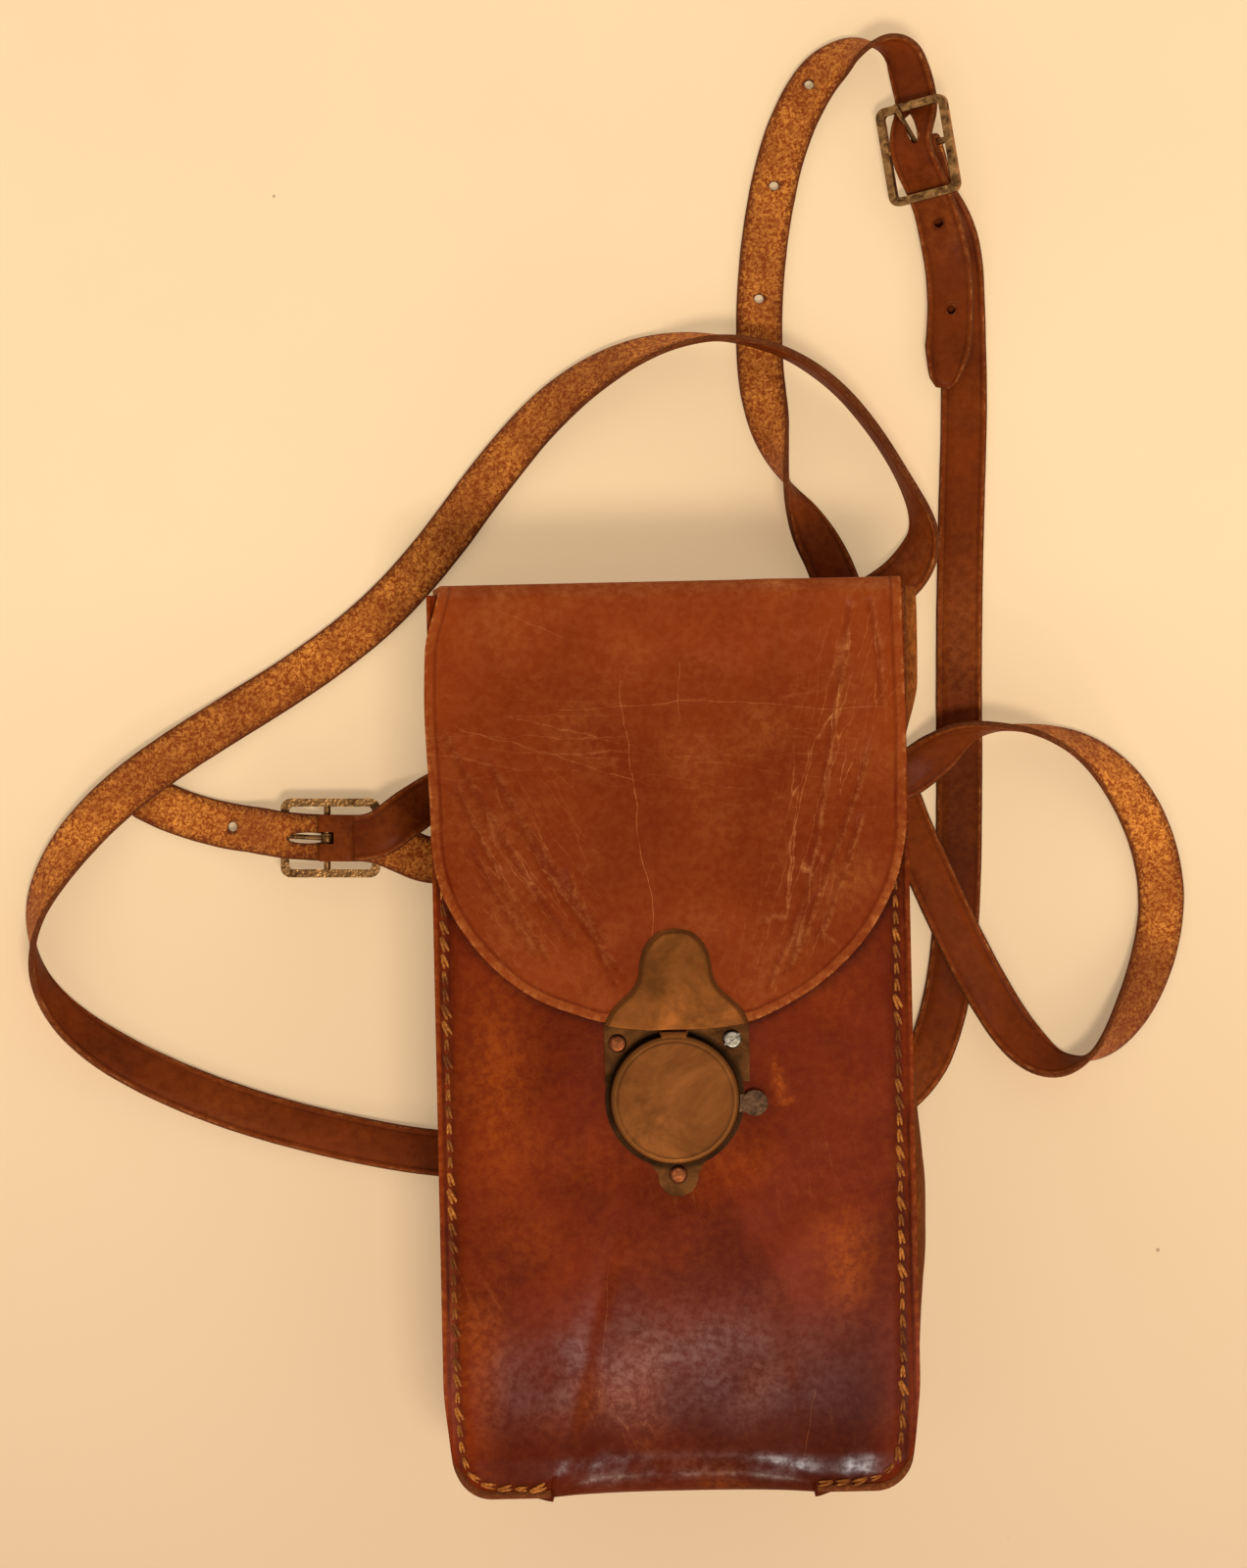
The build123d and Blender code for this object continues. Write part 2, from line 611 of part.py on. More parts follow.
def strap_width_at(place, along, total, tapered):
    """Width of the strap: narrow at a punched tip and where it is squeezed behind the case."""
    width = strap_width
    if tapered:
        from_tip = min(along, total - along)
        if from_tip < tip_taper:
            width = tip_width + (strap_width - tip_width) * math.sqrt(from_tip / tip_taper)
        off = math.hypot(place.X - squeeze_centre[0], place.Y - squeeze_centre[1])
        if off < squeeze_reach:
            share = max(0.0, off - squeeze_level) / (squeeze_reach - squeeze_level)
            ease = (1 - math.cos(math.pi * share)) / 2
            width = squeeze_width + (strap_width - squeeze_width) * ease
    return width


def make_strap(route, tapered):
    """A strap as one ruled loft of its rectangular section along its route."""
    stations, radii = route_stations(route)
    steps = [(b[0] - a[0]).length for a, b in zip(stations, stations[1:])]
    total = sum(steps)
    along = 0.0
    sections = []
    widths = []
    for step, (place, heading, roll) in zip([0.0] + steps, stations):
        along += step
        widths.append(strap_width_at(place, along, total, tapered))
        flat = unit(Vector(0, 0, 1).cross(heading))
        normal = heading.cross(flat)
        turn = math.radians(roll)
        across = flat * math.cos(turn) + normal * math.sin(turn)
        section = Rectangle(widths[-1], strap_leather)
        sections.append(Plane(origin=place, x_dir=across, z_dir=heading) * section)
    expected = sum(step * strap_leather * (a + b) / 2 for step, a, b in zip(steps, widths, widths[1:]))
    return loft(sections, ruled=True), radii, total, expected


def punch_holes(strap):
    """Punched holes, and the two worn slots that the prongs pass through."""
    for x, y, z in strap_2_holes:
        strap -= Pos(x, y, z) * Cylinder(hole_radius, 3 * strap_leather)
    for place, slot_middle, slot_width in ((buckle_1_place, 0.4, 3.6), (buckle_2_place, 1.9, 5.0)):
        worn = Pos(6.4, slot_middle, 1.8) * Rot(0, 30, 0) * Box(12.0, slot_width, 2 * strap_leather)
        strap -= place * worn
    return strap


save(make_wrap(), "body_wrap")
save(make_gusset(-1), "left_gusset")
save(make_gusset(1), "right_gusset")
save(make_bottom_board(), "bottom_board")
save(make_flap_top(), "flap_top")
save(make_flap_front(), "flap_front")
save(make_hasp_plate(), "hasp_plate")
save(make_hasp_backing(), "hasp_backing_plate")
save(make_hasp_studs(), "hasp_studs")
save(make_base_plate(), "latch_base_plate")
save(make_cup(), "latch_cup")
save(make_bolt(), "latch_bolt")
save(make_tab(), "latch_tab")
save(make_guides(), "bolt_guides")
save(make_latch_spring(), "latch_spring")
save(make_rivets(), "latch_rivets")
save(make_screw(), "latch_screw")
save(make_screw_nut(), "latch_screw_nut")
save(make_washers(), "latch_washers")
save(make_stitches(front_face, front_face + stitch_height), "front_seam_stitches")
save(make_stitches(back_face - stitch_height, back_face), "back_seam_stitches")
for keeper_name, (keeper_x, keeper_y) in keeper_places().items():
    save(make_keeper(keeper_x, keeper_y), keeper_name)
save(make_keeper_stitches(), "keeper_stitches")
save(make_buckle_frame(buckle_1_place), "buckle_1_frame")
save(make_buckle_frame(buckle_2_place), "buckle_2_frame")
save(make_prong(buckle_1_place, 0.6), "buckle_1_prong")
save(make_prong(buckle_2_place, 4.5), "buckle_2_prong")
save(make_fold(buckle_1_place), "strap_1_fold_left")
save(make_fold(buckle_2_place), "strap_1_fold_top")

for strap_name, strap_route, tips in (("strap_1", strap_1_route, False), ("strap_2", strap_2_route, True)):
    solid, radii, length, expected = make_strap(strap_route, tips)
    print(strap_name, "length", round(length, 1), "volume", round(solid.volume, 1), "expected", round(expected, 1))
    print(strap_name, "radii", [round(radius, 1) for radius in radii])
    if tips:
        solid = punch_holes(solid)
    save(solid, strap_name)
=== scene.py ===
# %% [markdown]
# # A worn leather camera case
# The case lies on its back on a table, with its long straps laid out round it. Every piece is made in
# metres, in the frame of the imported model: Z leaves the front of the case, Y runs to its mouth and X to its
# right. The model is loaded first, so that each new piece can be placed on what carries it.

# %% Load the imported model
import math
import bmesh
import bpy
import numpy as np
from mathutils import Matrix, Vector, noise


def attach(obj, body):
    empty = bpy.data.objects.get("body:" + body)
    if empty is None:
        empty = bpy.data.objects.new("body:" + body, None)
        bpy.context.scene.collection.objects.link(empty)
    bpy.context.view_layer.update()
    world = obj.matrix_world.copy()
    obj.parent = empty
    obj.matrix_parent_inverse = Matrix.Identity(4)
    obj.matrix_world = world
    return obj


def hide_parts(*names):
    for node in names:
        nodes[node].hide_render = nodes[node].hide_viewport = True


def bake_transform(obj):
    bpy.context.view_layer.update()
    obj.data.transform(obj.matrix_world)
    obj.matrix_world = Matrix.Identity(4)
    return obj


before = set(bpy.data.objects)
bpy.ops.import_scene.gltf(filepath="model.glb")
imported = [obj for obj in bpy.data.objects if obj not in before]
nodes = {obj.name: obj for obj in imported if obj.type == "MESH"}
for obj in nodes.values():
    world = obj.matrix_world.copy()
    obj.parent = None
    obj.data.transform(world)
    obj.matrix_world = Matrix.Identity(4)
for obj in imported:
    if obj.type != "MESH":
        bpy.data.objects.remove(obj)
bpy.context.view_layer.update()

# %% [markdown]
# ## The camera
# The picture was taken straight down from about one metre, with the case turned a little. A camera at that
# height with a lens to match gives the same slight perspective: the front of the case is nearer, so it looks
# larger than the table under it.

# %% Place the camera
lens_width = 36.0
picture_height = 1600
focal_pixels = 3630.0
camera_height = 1.062

camera_data = bpy.data.cameras.new("camera")
camera_data.sensor_width = lens_width
camera_data.lens = focal_pixels / picture_height * lens_width
camera_data.clip_end = 20.0
camera = bpy.data.objects.new("camera", camera_data)
camera.location = (-0.01273, 0.07219, camera_height)
camera.rotation_euler = (0.0, 0.0, math.radians(-1.25))
bpy.context.scene.collection.objects.link(camera)
bpy.context.scene.camera = camera
print("lens", round(camera_data.lens, 2), "mm")

# %% [markdown]
# ## Small helpers
# A few short functions are used by every piece. Some put a mesh in the scene and finish it, some give soft
# steps and bells between numbers, and some make shader nodes and fill in their sockets.

# %% Mesh helpers
def add_mesh(name, vertices, faces, materials=(), face_slots=None, smooth=True):
    """A mesh object from lists of points and faces, at the origin."""
    mesh = bpy.data.meshes.new(name)
    mesh.from_pydata([tuple(v) for v in vertices], [], [tuple(f) for f in faces])
    for material in materials:
        mesh.materials.append(material)
    if face_slots is not None:
        mesh.polygons.foreach_set("material_index", list(face_slots))
    mesh.polygons.foreach_set("use_smooth", [smooth] * len(mesh.polygons))
    mesh.update()
    obj = bpy.data.objects.new(name, mesh)
    bpy.context.scene.collection.objects.link(obj)
    return obj


def add_masks(obj, **masks):
    """Numbers for each point of a mesh, which its material reads by name. One number is for all points."""
    count = len(obj.data.vertices)
    for name, values in masks.items():
        layer = obj.data.attributes.new(name, "FLOAT", "POINT")
        layer.data.foreach_set("value", np.broadcast_to(np.asarray(values, dtype=np.float32), count).copy())


def apply_modifiers(obj):
    """Turns a piece with live modifiers into a plain mesh."""
    bpy.context.view_layer.update()
    depsgraph = bpy.context.evaluated_depsgraph_get()
    mesh = bpy.data.meshes.new_from_object(obj.evaluated_get(depsgraph))
    obj.modifiers.clear()
    obj.data = mesh


def thicken(obj, thickness, inner_slot=0, rim_slot=0):
    """Gives a skin its thickness inwards, with its own materials inside and on the cut rim."""
    wall = obj.modifiers.new("thickness", "SOLIDIFY")
    wall.thickness = thickness
    wall.offset = -1.0
    wall.material_offset = inner_slot
    wall.material_offset_rim = rim_slot
    apply_modifiers(obj)


def point_outward(obj):
    """Turns all faces of a closed piece outwards."""
    work = bmesh.new()
    work.from_mesh(obj.data)
    bmesh.ops.recalc_face_normals(work, faces=work.faces)
    work.to_mesh(obj.data)
    work.free()


print("mesh helpers ready")

# %% Number helpers
def soft_step(low, high, value):
    """0 below low, 1 above high and a smooth rise between."""
    share = np.clip((np.asarray(value, float) - low) / (high - low), 0.0, 1.0)
    return share * share * (3.0 - 2.0 * share)


def rough(x, y, size, seed):
    """Smooth noise from -1 to 1 at a point, in lumps of the given size."""
    return noise.noise(Vector((x / size, y / size, seed)))


def bell(x, y, middle_x, middle_y, reach_x, reach_y):
    """1 at a middle, and falling smoothly to 0 over the reach to each side."""
    return math.exp(-((x - middle_x) / reach_x) ** 2 - ((y - middle_y) / reach_y) ** 2)


def bounded(values):
    """Values kept between 0 and 1."""
    return np.clip(values, 0.0, 1.0)


print("number helpers ready")

# %% Shader helpers
def fill_socket(tree, socket, value):
    """Links a socket to the output of a node, or gives it a plain value."""
    if isinstance(value, bpy.types.NodeSocket):
        tree.links.new(value, socket)
    else:
        socket.default_value = value


def make_node(tree, kind, fills=None, **settings):
    """One shader node, with its settings and the values of its input sockets."""
    made = tree.nodes.new(kind)
    for key, value in settings.items():
        setattr(made, key, value)
    for key, value in (fills or {}).items():
        fill_socket(tree, made.inputs[key], value)
    return made


def blend_colours(tree, share, first, second):
    """Mixes two colours by a share from 0 to 1."""
    return make_node(tree, "ShaderNodeMix", {0: share, 6: first, 7: second}, data_type="RGBA").outputs[2]


def calculate(tree, operation, first, second=0.5, third=0.5, clamp=False):
    """One arithmetic step on values."""
    fills = {0: first, 1: second, 2: third}
    return make_node(tree, "ShaderNodeMath", fills, operation=operation, use_clamp=clamp).outputs[0]


def calculate_place(tree, operation, *terms):
    """One arithmetic step on places or directions."""
    return make_node(tree, "ShaderNodeVectorMath", dict(enumerate(terms)), operation=operation)


def spread(tree, value, low, high, new_low=0.0, new_high=1.0):
    """Maps a range of values onto another, and stops at its ends."""
    remap = make_node(tree, "ShaderNodeMapRange", {
        "Value": value, "From Min": low, "From Max": high, "To Min": new_low, "To Max": new_high})
    return remap.outputs["Result"]


def object_place(tree):
    """The place of each point of a surface, in metres."""
    return make_node(tree, "ShaderNodeTexCoord").outputs["Object"]


def cloudy(tree, place, scale, detail, roughness=0.5, distortion=0.0):
    """Smooth noise from 0 to 1, with as many finer layers as the detail says."""
    made = make_node(tree, "ShaderNodeTexNoise", {
        "Vector": place, "Scale": scale, "Detail": detail, "Roughness": roughness, "Distortion": distortion})
    return made.outputs["Fac"]


def read_mask(tree, name):
    """The values of a mask that a mesh carries. A mesh without that mask gives 0."""
    return make_node(tree, "ShaderNodeAttribute", attribute_name=name).outputs["Fac"]


def set_relief(tree, shader, height, strength, distance):
    """Lets a height bend the light on a surface, over a distance in metres."""
    relief = make_node(tree, "ShaderNodeBump", {"Strength": strength, "Distance": distance, "Height": height})
    tree.links.new(relief.outputs["Normal"], shader.inputs["Normal"])
    return relief


print("shader helpers ready")

# %% Colours, groups and materials
def colour(red, green, blue):
    """A colour as it is seen on a screen, 0 to 255, as the linear values that a shader wants."""
    linear = [c / 3294.6 if c <= 10 else ((c / 255.0 + 0.055) / 1.055) ** 2.4 for c in (red, green, blue)]
    return (*linear, 1.0)


def new_group(name, inputs, outputs):
    """A shader node group with named number inputs and outputs."""
    tree = bpy.data.node_groups.new(name, "ShaderNodeTree")
    for label, value in inputs:
        socket = tree.interface.new_socket(label, in_out="INPUT", socket_type="NodeSocketFloat")
        socket.default_value = value
    for label in outputs:
        tree.interface.new_socket(label, in_out="OUTPUT", socket_type="NodeSocketFloat")
    return tree, tree.nodes.new("NodeGroupInput").outputs, tree.nodes.new("NodeGroupOutput").inputs


def use_group(tree, group, fills):
    """Places a shader node group in a material, and gives back its outputs."""
    made = tree.nodes.new("ShaderNodeGroup")
    made.node_tree = group
    for key, value in fills.items():
        fill_socket(tree, made.inputs[key], value)
    return made.outputs


def start_material(name):
    """A new material with its main shader."""
    material = bpy.data.materials.new(name)
    material.use_nodes = True
    tree = material.node_tree
    return material, tree, tree.nodes["Principled BSDF"]


print("material helpers ready")

# %% [markdown]
# ## The straps' lines
# Each strap is a flat ribbon that follows one smooth line. The line is a NURBS curve whose control points
# were chosen along the strap in the picture, with the height that it lies at. The last number of each point
# is how far the ribbon is rolled there: 0 is flat with the grain side up, 90 is on edge, 180 shows the flesh
# side.

# %% Route of the long strap
LONG_ROUTE = [
    (0.0817, 0.2505, 0.0069, 32), (0.0834, 0.2448, 0.0055, 32), (0.0876, 0.2376, 0.0043, 20),
    (0.0908, 0.2280, 0.0024, 6), (0.0913, 0.2090, 0.0013, 0), (0.0914, 0.1825, 0.0012, 0),
    (0.0894, 0.1460, 0.0012, 0), (0.0879, 0.1060, 0.0012, 0), (0.0873, 0.0640, 0.0012, 0),
    (0.0856, 0.0262, 0.0013, 1), (0.0811, 0.0001, 0.0019, 3), (0.0725, -0.0186, 0.0037, 0),
    (0.0503, -0.0312, 0.0037, 0), (0.0138, -0.0357, 0.0037, 0), (-0.0286, -0.0383, 0.0037, 0),
    (-0.0679, -0.0374, 0.0035, 0), (-0.1000, -0.0311, 0.0020, 4), (-0.1319, -0.0216, 0.0023, 8),
    (-0.1591, -0.0092, 0.0039, 20), (-0.1774, 0.0036, 0.0063, 45), (-0.1871, 0.0170, 0.0076, 75),
    (-0.1894, 0.0310, 0.0076, 105), (-0.1858, 0.0446, 0.0065, 135), (-0.1764, 0.0589, 0.0050, 160),
    (-0.1632, 0.0720, 0.0040, 178), (-0.1478, 0.0830, 0.0035, 180), (-0.1294, 0.0943, 0.0014, 180),
    (-0.1073, 0.1073, 0.0012, 180), (-0.0850, 0.1235, 0.0012, 180), (-0.0670, 0.1427, 0.0012, 180),
    (-0.0504, 0.1647, 0.0019, 175), (-0.0330, 0.1843, 0.0038, 160), (-0.0147, 0.1971, 0.0062, 140),
    (0.0044, 0.2036, 0.0092, 112), (0.0232, 0.2036, 0.0108, 92), (0.0390, 0.1986, 0.0108, 88),
    (0.0529, 0.1890, 0.0086, 85), (0.0639, 0.1757, 0.0074, 85), (0.0729, 0.1604, 0.0074, 85),
    (0.0784, 0.1469, 0.0072, 65), (0.0766, 0.1378, 0.0058, 30), (0.0689, 0.1287, 0.0038, 2),
    (0.0507, 0.1198, 0.00385, 0), (0.0184, 0.1065, 0.0027, 0), (-0.0199, 0.0911, 0.0013, 0),
    (-0.0464, 0.0797, 0.0016, 0), (-0.0620, 0.0729, 0.0022, 0), (-0.0705, 0.0692, 0.0038, 0),
    (-0.0782, 0.0639, 0.0123, 0), (-0.0860, 0.0578, 0.01295, 0), (-0.0926, 0.0579, 0.01115, 0),
]
print("long strap", len(LONG_ROUTE), "points")

# %% Route of the short strap
SHORT_ROUTE = [
    (0.0846, 0.1879, 0.0039, 0), (0.0865, 0.1983, 0.0039, 0), (0.0877, 0.2105, 0.0039, 0),
    (0.0873, 0.2230, 0.0049, -5), (0.0850, 0.2345, 0.0069, -20), (0.0824, 0.2445, 0.0070, -32),
    (0.0765, 0.2548, 0.0142, -32), (0.0756, 0.2609, 0.0141, -32), (0.0790, 0.2715, 0.0064, -32),
    (0.0768, 0.2810, 0.0069, -34), (0.0748, 0.2871, 0.0073, -48), (0.0696, 0.2900, 0.0080, -80),
    (0.0635, 0.2896, 0.0077, -112), (0.0566, 0.2870, 0.0056, -145), (0.0479, 0.2799, 0.0028, -170),
    (0.0389, 0.2620, 0.0012, -180), (0.0333, 0.2378, 0.0012, -180), (0.0307, 0.2145, 0.0012, -180),
    (0.0305, 0.1940, 0.0018, -178), (0.0327, 0.1790, 0.0049, -150), (0.0355, 0.1670, 0.0075, -110),
    (0.0388, 0.1568, 0.0075, -70), (0.0434, 0.1482, 0.0049, -30), (0.0506, 0.1357, 0.0016, 0),
    (0.0561, 0.1175, 0.0012, 0), (0.0614, 0.0954, 0.0012, 0), (0.0660, 0.0749, 0.0016, 0),
    (0.0716, 0.0578, 0.0033, 0), (0.0776, 0.0440, 0.0043, 0), (0.0845, 0.0278, 0.0044, 0),
    (0.0925, 0.0111, 0.0043, 0), (0.1024, -0.0056, 0.0038, -10), (0.1122, -0.0143, 0.0066, -50),
    (0.1237, -0.0127, 0.0077, -100), (0.1341, -0.0032, 0.0058, -140), (0.1427, 0.0128, 0.0032, -165),
    (0.1474, 0.0322, 0.0017, -178), (0.1452, 0.0506, 0.0018, -178), (0.1376, 0.0672, 0.0037, -160),
    (0.1259, 0.0794, 0.0065, -130), (0.1113, 0.0857, 0.0084, -100), (0.0960, 0.0869, 0.0101, -85),
    (0.0866, 0.0846, 0.0090, -55), (0.0796, 0.0787, 0.0054, -14), (0.0695, 0.0714, 0.0037, 0),
    (0.0455, 0.0641, 0.0037, 0), (0.0240, 0.0606, 0.0036, 0), (0.0115, 0.0593, 0.0032, 0),
    (0.0043, 0.0585, 0.0030, -45), (-0.0040, 0.0577, 0.0029, -90), (-0.0123, 0.0567, 0.0030, -135),
    (-0.0200, 0.0557, 0.0032, -180), (-0.0340, 0.0539, 0.0037, -180), (-0.0520, 0.0514, 0.0037, -180),
    (-0.0704, 0.0500, 0.0041, -180), (-0.0794, 0.0544, 0.0072, -180), (-0.0861, 0.0577, 0.0112, -180),
    (-0.0977, 0.0580, 0.0023, -180), (-0.1041, 0.0582, 0.0023, -180), (-0.1133, 0.0592, 0.0111, -180),
    (-0.1215, 0.0608, 0.0056, -180), (-0.1310, 0.0622, 0.0015, -180), (-0.1432, 0.0657, 0.0012, -180),
    (-0.1548, 0.0709, 0.0012, -180), (-0.1658, 0.0773, 0.0012, -180),
]
print("short strap", len(SHORT_ROUTE), "points")

# %% [markdown]
# A NURBS curve can carry any three numbers, not only a place. So a second curve with the same knots carries
# the roll, and reading both curves at the same steps gives the place and the roll of the ribbon together.

# %% Read a smooth line from its control points
steps_per_point = 9
degrees_per_unit = 100.0


def read_line(name, control):
    """Points along a smooth NURBS line with the given control points."""
    curve = bpy.data.curves.new(name, "CURVE")
    curve.dimensions = "3D"
    spline = curve.splines.new("NURBS")
    spline.points.add(len(control) - 1)
    for point, place in zip(spline.points, control):
        point.co = (*place, 1.0)
    spline.order_u = 3
    spline.use_endpoint_u = True
    spline.resolution_u = steps_per_point
    holder = bpy.data.objects.new(name, curve)
    bpy.context.scene.collection.objects.link(holder)
    bpy.context.view_layer.update()
    line = bpy.data.meshes.new_from_object(holder.evaluated_get(bpy.context.evaluated_depsgraph_get()))
    points = np.array([v.co for v in line.vertices])
    bpy.data.objects.remove(holder)
    return points


def read_strap(name, route):
    """Places, headings, edge directions and faces' normals along a strap, with its length so far."""
    places = read_line(name + "_line", [p[:3] for p in route])
    rolls = read_line(name + "_roll", [(p[3] / degrees_per_unit, 0.0, 0.0) for p in route])[:, 0]
    headings = np.gradient(places, axis=0)
    headings /= np.linalg.norm(headings, axis=1)[:, None]
    flat = np.cross((0.0, 0.0, 1.0), headings)
    flat /= np.linalg.norm(flat, axis=1)[:, None]
    up = np.cross(headings, flat)
    turn = np.radians(rolls * degrees_per_unit)[:, None]
    across = flat * np.cos(turn) + up * np.sin(turn)
    normal = up * np.cos(turn) - flat * np.sin(turn)
    steps = np.linalg.norm(np.diff(places, axis=0), axis=1)
    along = np.concatenate([[0.0], np.cumsum(steps)])
    return {"places": places, "across": across, "normal": normal, "along": along, "length": float(along[-1])}


long_line = read_strap("long", LONG_ROUTE)
short_line = read_strap("short", SHORT_ROUTE)
print("long strap", round(long_line["length"], 3), "m, short strap", round(short_line["length"], 3), "m")

# %% [markdown]
# ## Leather
# All the leather shares the same small effects: pores, specks and cloudy patches where the dye is lighter.
# Painted pictures could show them, but a picture has to be laid on each piece without seams. A node group
# works all over any surface, so the effects are built once, and each material gives them its own sizes and
# colours.

# %% Group: the surface of leather
def build_leather_effects():
    """Pores, clouds and specks of leather, with a height for the bump."""
    tree, given, made = new_group("leather effects", [("Pore Scale", 900.0), ("Cloud Scale", 28.0)],
                                  ["Height", "Clouds", "Speckle"])
    place = object_place(tree)
    pores = make_node(tree, "ShaderNodeTexVoronoi", {"Vector": place, "Scale": given["Pore Scale"]},
                      feature="SMOOTH_F1").outputs["Distance"]
    fine = cloudy(tree, place, given["Pore Scale"], 3.0)
    clouds = cloudy(tree, place, given["Cloud Scale"], 6.0, 0.62, 0.4)
    speckle = cloudy(tree, place, 420.0, 4.0, 0.7)
    tree.links.new(calculate(tree, "MULTIPLY_ADD", fine, 0.45, pores), made["Height"])
    tree.links.new(spread(tree, clouds, 0.32, 0.68), made["Clouds"])
    tree.links.new(spread(tree, speckle, 0.4, 0.62), made["Speckle"])
    return tree


leather_effects = build_leather_effects()
print("group", leather_effects.name)

# %% [markdown]
# Old leather also has lines. A bundle of short cracks all run one way where the leather is often bent, and a
# few long hairlines are on their own. Both are drawn by a distance: to the edge of stretched cells for the
# bundle, and to one line for a hairline. The place is first pushed about by noise, so that the lines wander.

# %% Groups: bundles of cracks, and one hairline
def wandering_place(tree, scale, detail, push):
    """The place on a surface, pushed about sideways by noise."""
    place = object_place(tree)
    wavy = make_node(tree, "ShaderNodeTexNoise", {"Vector": place, "Scale": scale, "Detail": detail})
    shift = calculate_place(tree, "SUBTRACT", wavy.outputs["Color"], (0.5, 0.5, 0.5)).outputs[0]
    return calculate_place(tree, "MULTIPLY_ADD", shift, (push, push, 0.0), place).outputs[0]


def turned_parts(tree, place, turn):
    """X and Y of a place, along directions that are turned round Z."""
    turned = make_node(tree, "ShaderNodeVectorRotate", {"Vector": place, "Angle": turn},
                       rotation_type="Z_AXIS")
    return make_node(tree, "ShaderNodeSeparateXYZ", {"Vector": turned.outputs[0]}).outputs


def build_craze():
    """Fine cracks in worn leather, drawn out along one direction."""
    tree, given, made = new_group("craze lines", [
        ("Turn", 0.0), ("Scale", 300.0), ("Stretch", 0.09), ("Width", 0.028)], ["Lines", "Height"])
    parts = turned_parts(tree, wandering_place(tree, 130.0, 3.0, 0.0035), given["Turn"])
    short = calculate(tree, "MULTIPLY", parts["X"], given["Stretch"])
    flat = make_node(tree, "ShaderNodeCombineXYZ", {"X": short, "Y": parts["Y"]}).outputs[0]
    cells = make_node(tree, "ShaderNodeTexVoronoi", {"Vector": flat, "Scale": given["Scale"]},
                      feature="DISTANCE_TO_EDGE").outputs["Distance"]
    tree.links.new(spread(tree, cells, 0.0, given["Width"], 1.0, 0.0), made["Lines"])
    tree.links.new(spread(tree, cells, 0.0, 0.25), made["Height"])
    return tree


def build_hairline():
    """One fine crack that starts at a point and runs along a direction."""
    tree, given, made = new_group("hairline", [
        ("X", 0.0), ("Y", 0.0), ("Turn", 0.0), ("Length", 0.05), ("Width", 0.00013)], ["Line"])
    start = make_node(tree, "ShaderNodeCombineXYZ", {"X": given["X"], "Y": given["Y"]}).outputs[0]
    local = calculate_place(tree, "SUBTRACT", wandering_place(tree, 70.0, 5.0, 0.0045), start).outputs[0]
    parts = turned_parts(tree, local, given["Turn"])
    thin = spread(tree, calculate(tree, "ABSOLUTE", parts["Y"]), 0.0, given["Width"], 1.0, 0.0)
    half = calculate(tree, "MULTIPLY", given["Length"], 0.5)
    from_middle = calculate(tree, "ABSOLUTE", calculate(tree, "SUBTRACT", parts["X"], half))
    within = spread(tree, calculate(tree, "SUBTRACT", half, from_middle), 0.0, 0.006)
    tree.links.new(calculate(tree, "MULTIPLY", thin, within), made["Line"])
    return tree


craze_lines = build_craze()
hairline = build_hairline()
print("groups", craze_lines.name, hairline.name)

# %% [markdown]
# Polished leather has a thin clear finish, so it gets a coat over a rougher base. A material alone can't know
# where hands have rubbed, so the meshes carry masks. They say where it is darker, worn to a lighter brown,
# cracked or glossy, and how many millimetres away the nearest edge is, where a line is tooled. Some of the
# darker places are painted shade and shadow, and some of the lighter ones are painted highlights.

# %% Marks on polished leather
def mark_edges(tree, look, effects, dark, worn, pale, edge_line, line_depth, edge_wear, rubbed_edge):
    """Wear beside the edges, the line tooled along them, and their rubbed rim."""
    clouds, speckle = effects["Clouds"], effects["Speckle"]
    edge = read_mask(tree, "edge_mm")
    band = spread(tree, edge, edge_line - 0.8, edge_line - 0.2, edge_wear, 0.0)
    band = calculate(tree, "MULTIPLY", band, spread(tree, speckle, 0.1, 0.9, 0.25, 1.1))
    look = blend_colours(tree, band, look, worn)
    wander = calculate(tree, "MULTIPLY_ADD", clouds, 0.5, edge_line - 0.25)
    off = calculate(tree, "ABSOLUTE", calculate(tree, "SUBTRACT", edge, wander))
    tooled = spread(tree, off, 0.1, 0.60, line_depth, 0.0)
    deep = calculate(tree, "MULTIPLY", tooled, spread(tree, clouds, 0.2, 0.8, 0.25, 0.8))
    look = blend_colours(tree, deep, look, dark)
    rim = spread(tree, edge, 0.0, 1.0, 1.0, 0.0)
    rim = calculate(tree, "MULTIPLY", rim, spread(tree, speckle, 0.45, 0.9, 0.0, rubbed_edge))
    return blend_colours(tree, rim, look, pale), tooled


def mark_cracks(tree, look, bump, speckle, pale, hairlines, crazes):
    """Single hairlines and bundles of cracks, in the colour and in the height."""
    for x, y, turn, length, strength in hairlines:
        line = use_group(tree, hairline, {"X": x, "Y": y, "Turn": math.radians(turn), "Length": length})
        drawn = calculate(tree, "MULTIPLY", line["Line"], spread(tree, speckle, 0.0, 0.7, 0.35, 1.0))
        look = blend_colours(tree, calculate(tree, "MULTIPLY", drawn, strength), look, pale)
        bump = calculate(tree, "MULTIPLY_ADD", drawn, -1.5, bump)
    for mask, turn, scale, strength in crazes:
        lines = use_group(tree, craze_lines, {"Turn": math.radians(turn), "Scale": scale})
        where = read_mask(tree, mask)
        broken = calculate(tree, "MULTIPLY", where, spread(tree, speckle, 0.1, 0.8, 0.4, 1.2))
        drawn = calculate(tree, "MULTIPLY", lines["Lines"], broken, clamp=True)
        look = blend_colours(tree, calculate(tree, "MULTIPLY", drawn, strength), look, pale)
        folds = calculate(tree, "MULTIPLY", lines["Height"], where)
        bump = calculate(tree, "MULTIPLY_ADD", folds, 3.0, bump)
    return look, bump


print("leather marks ready")

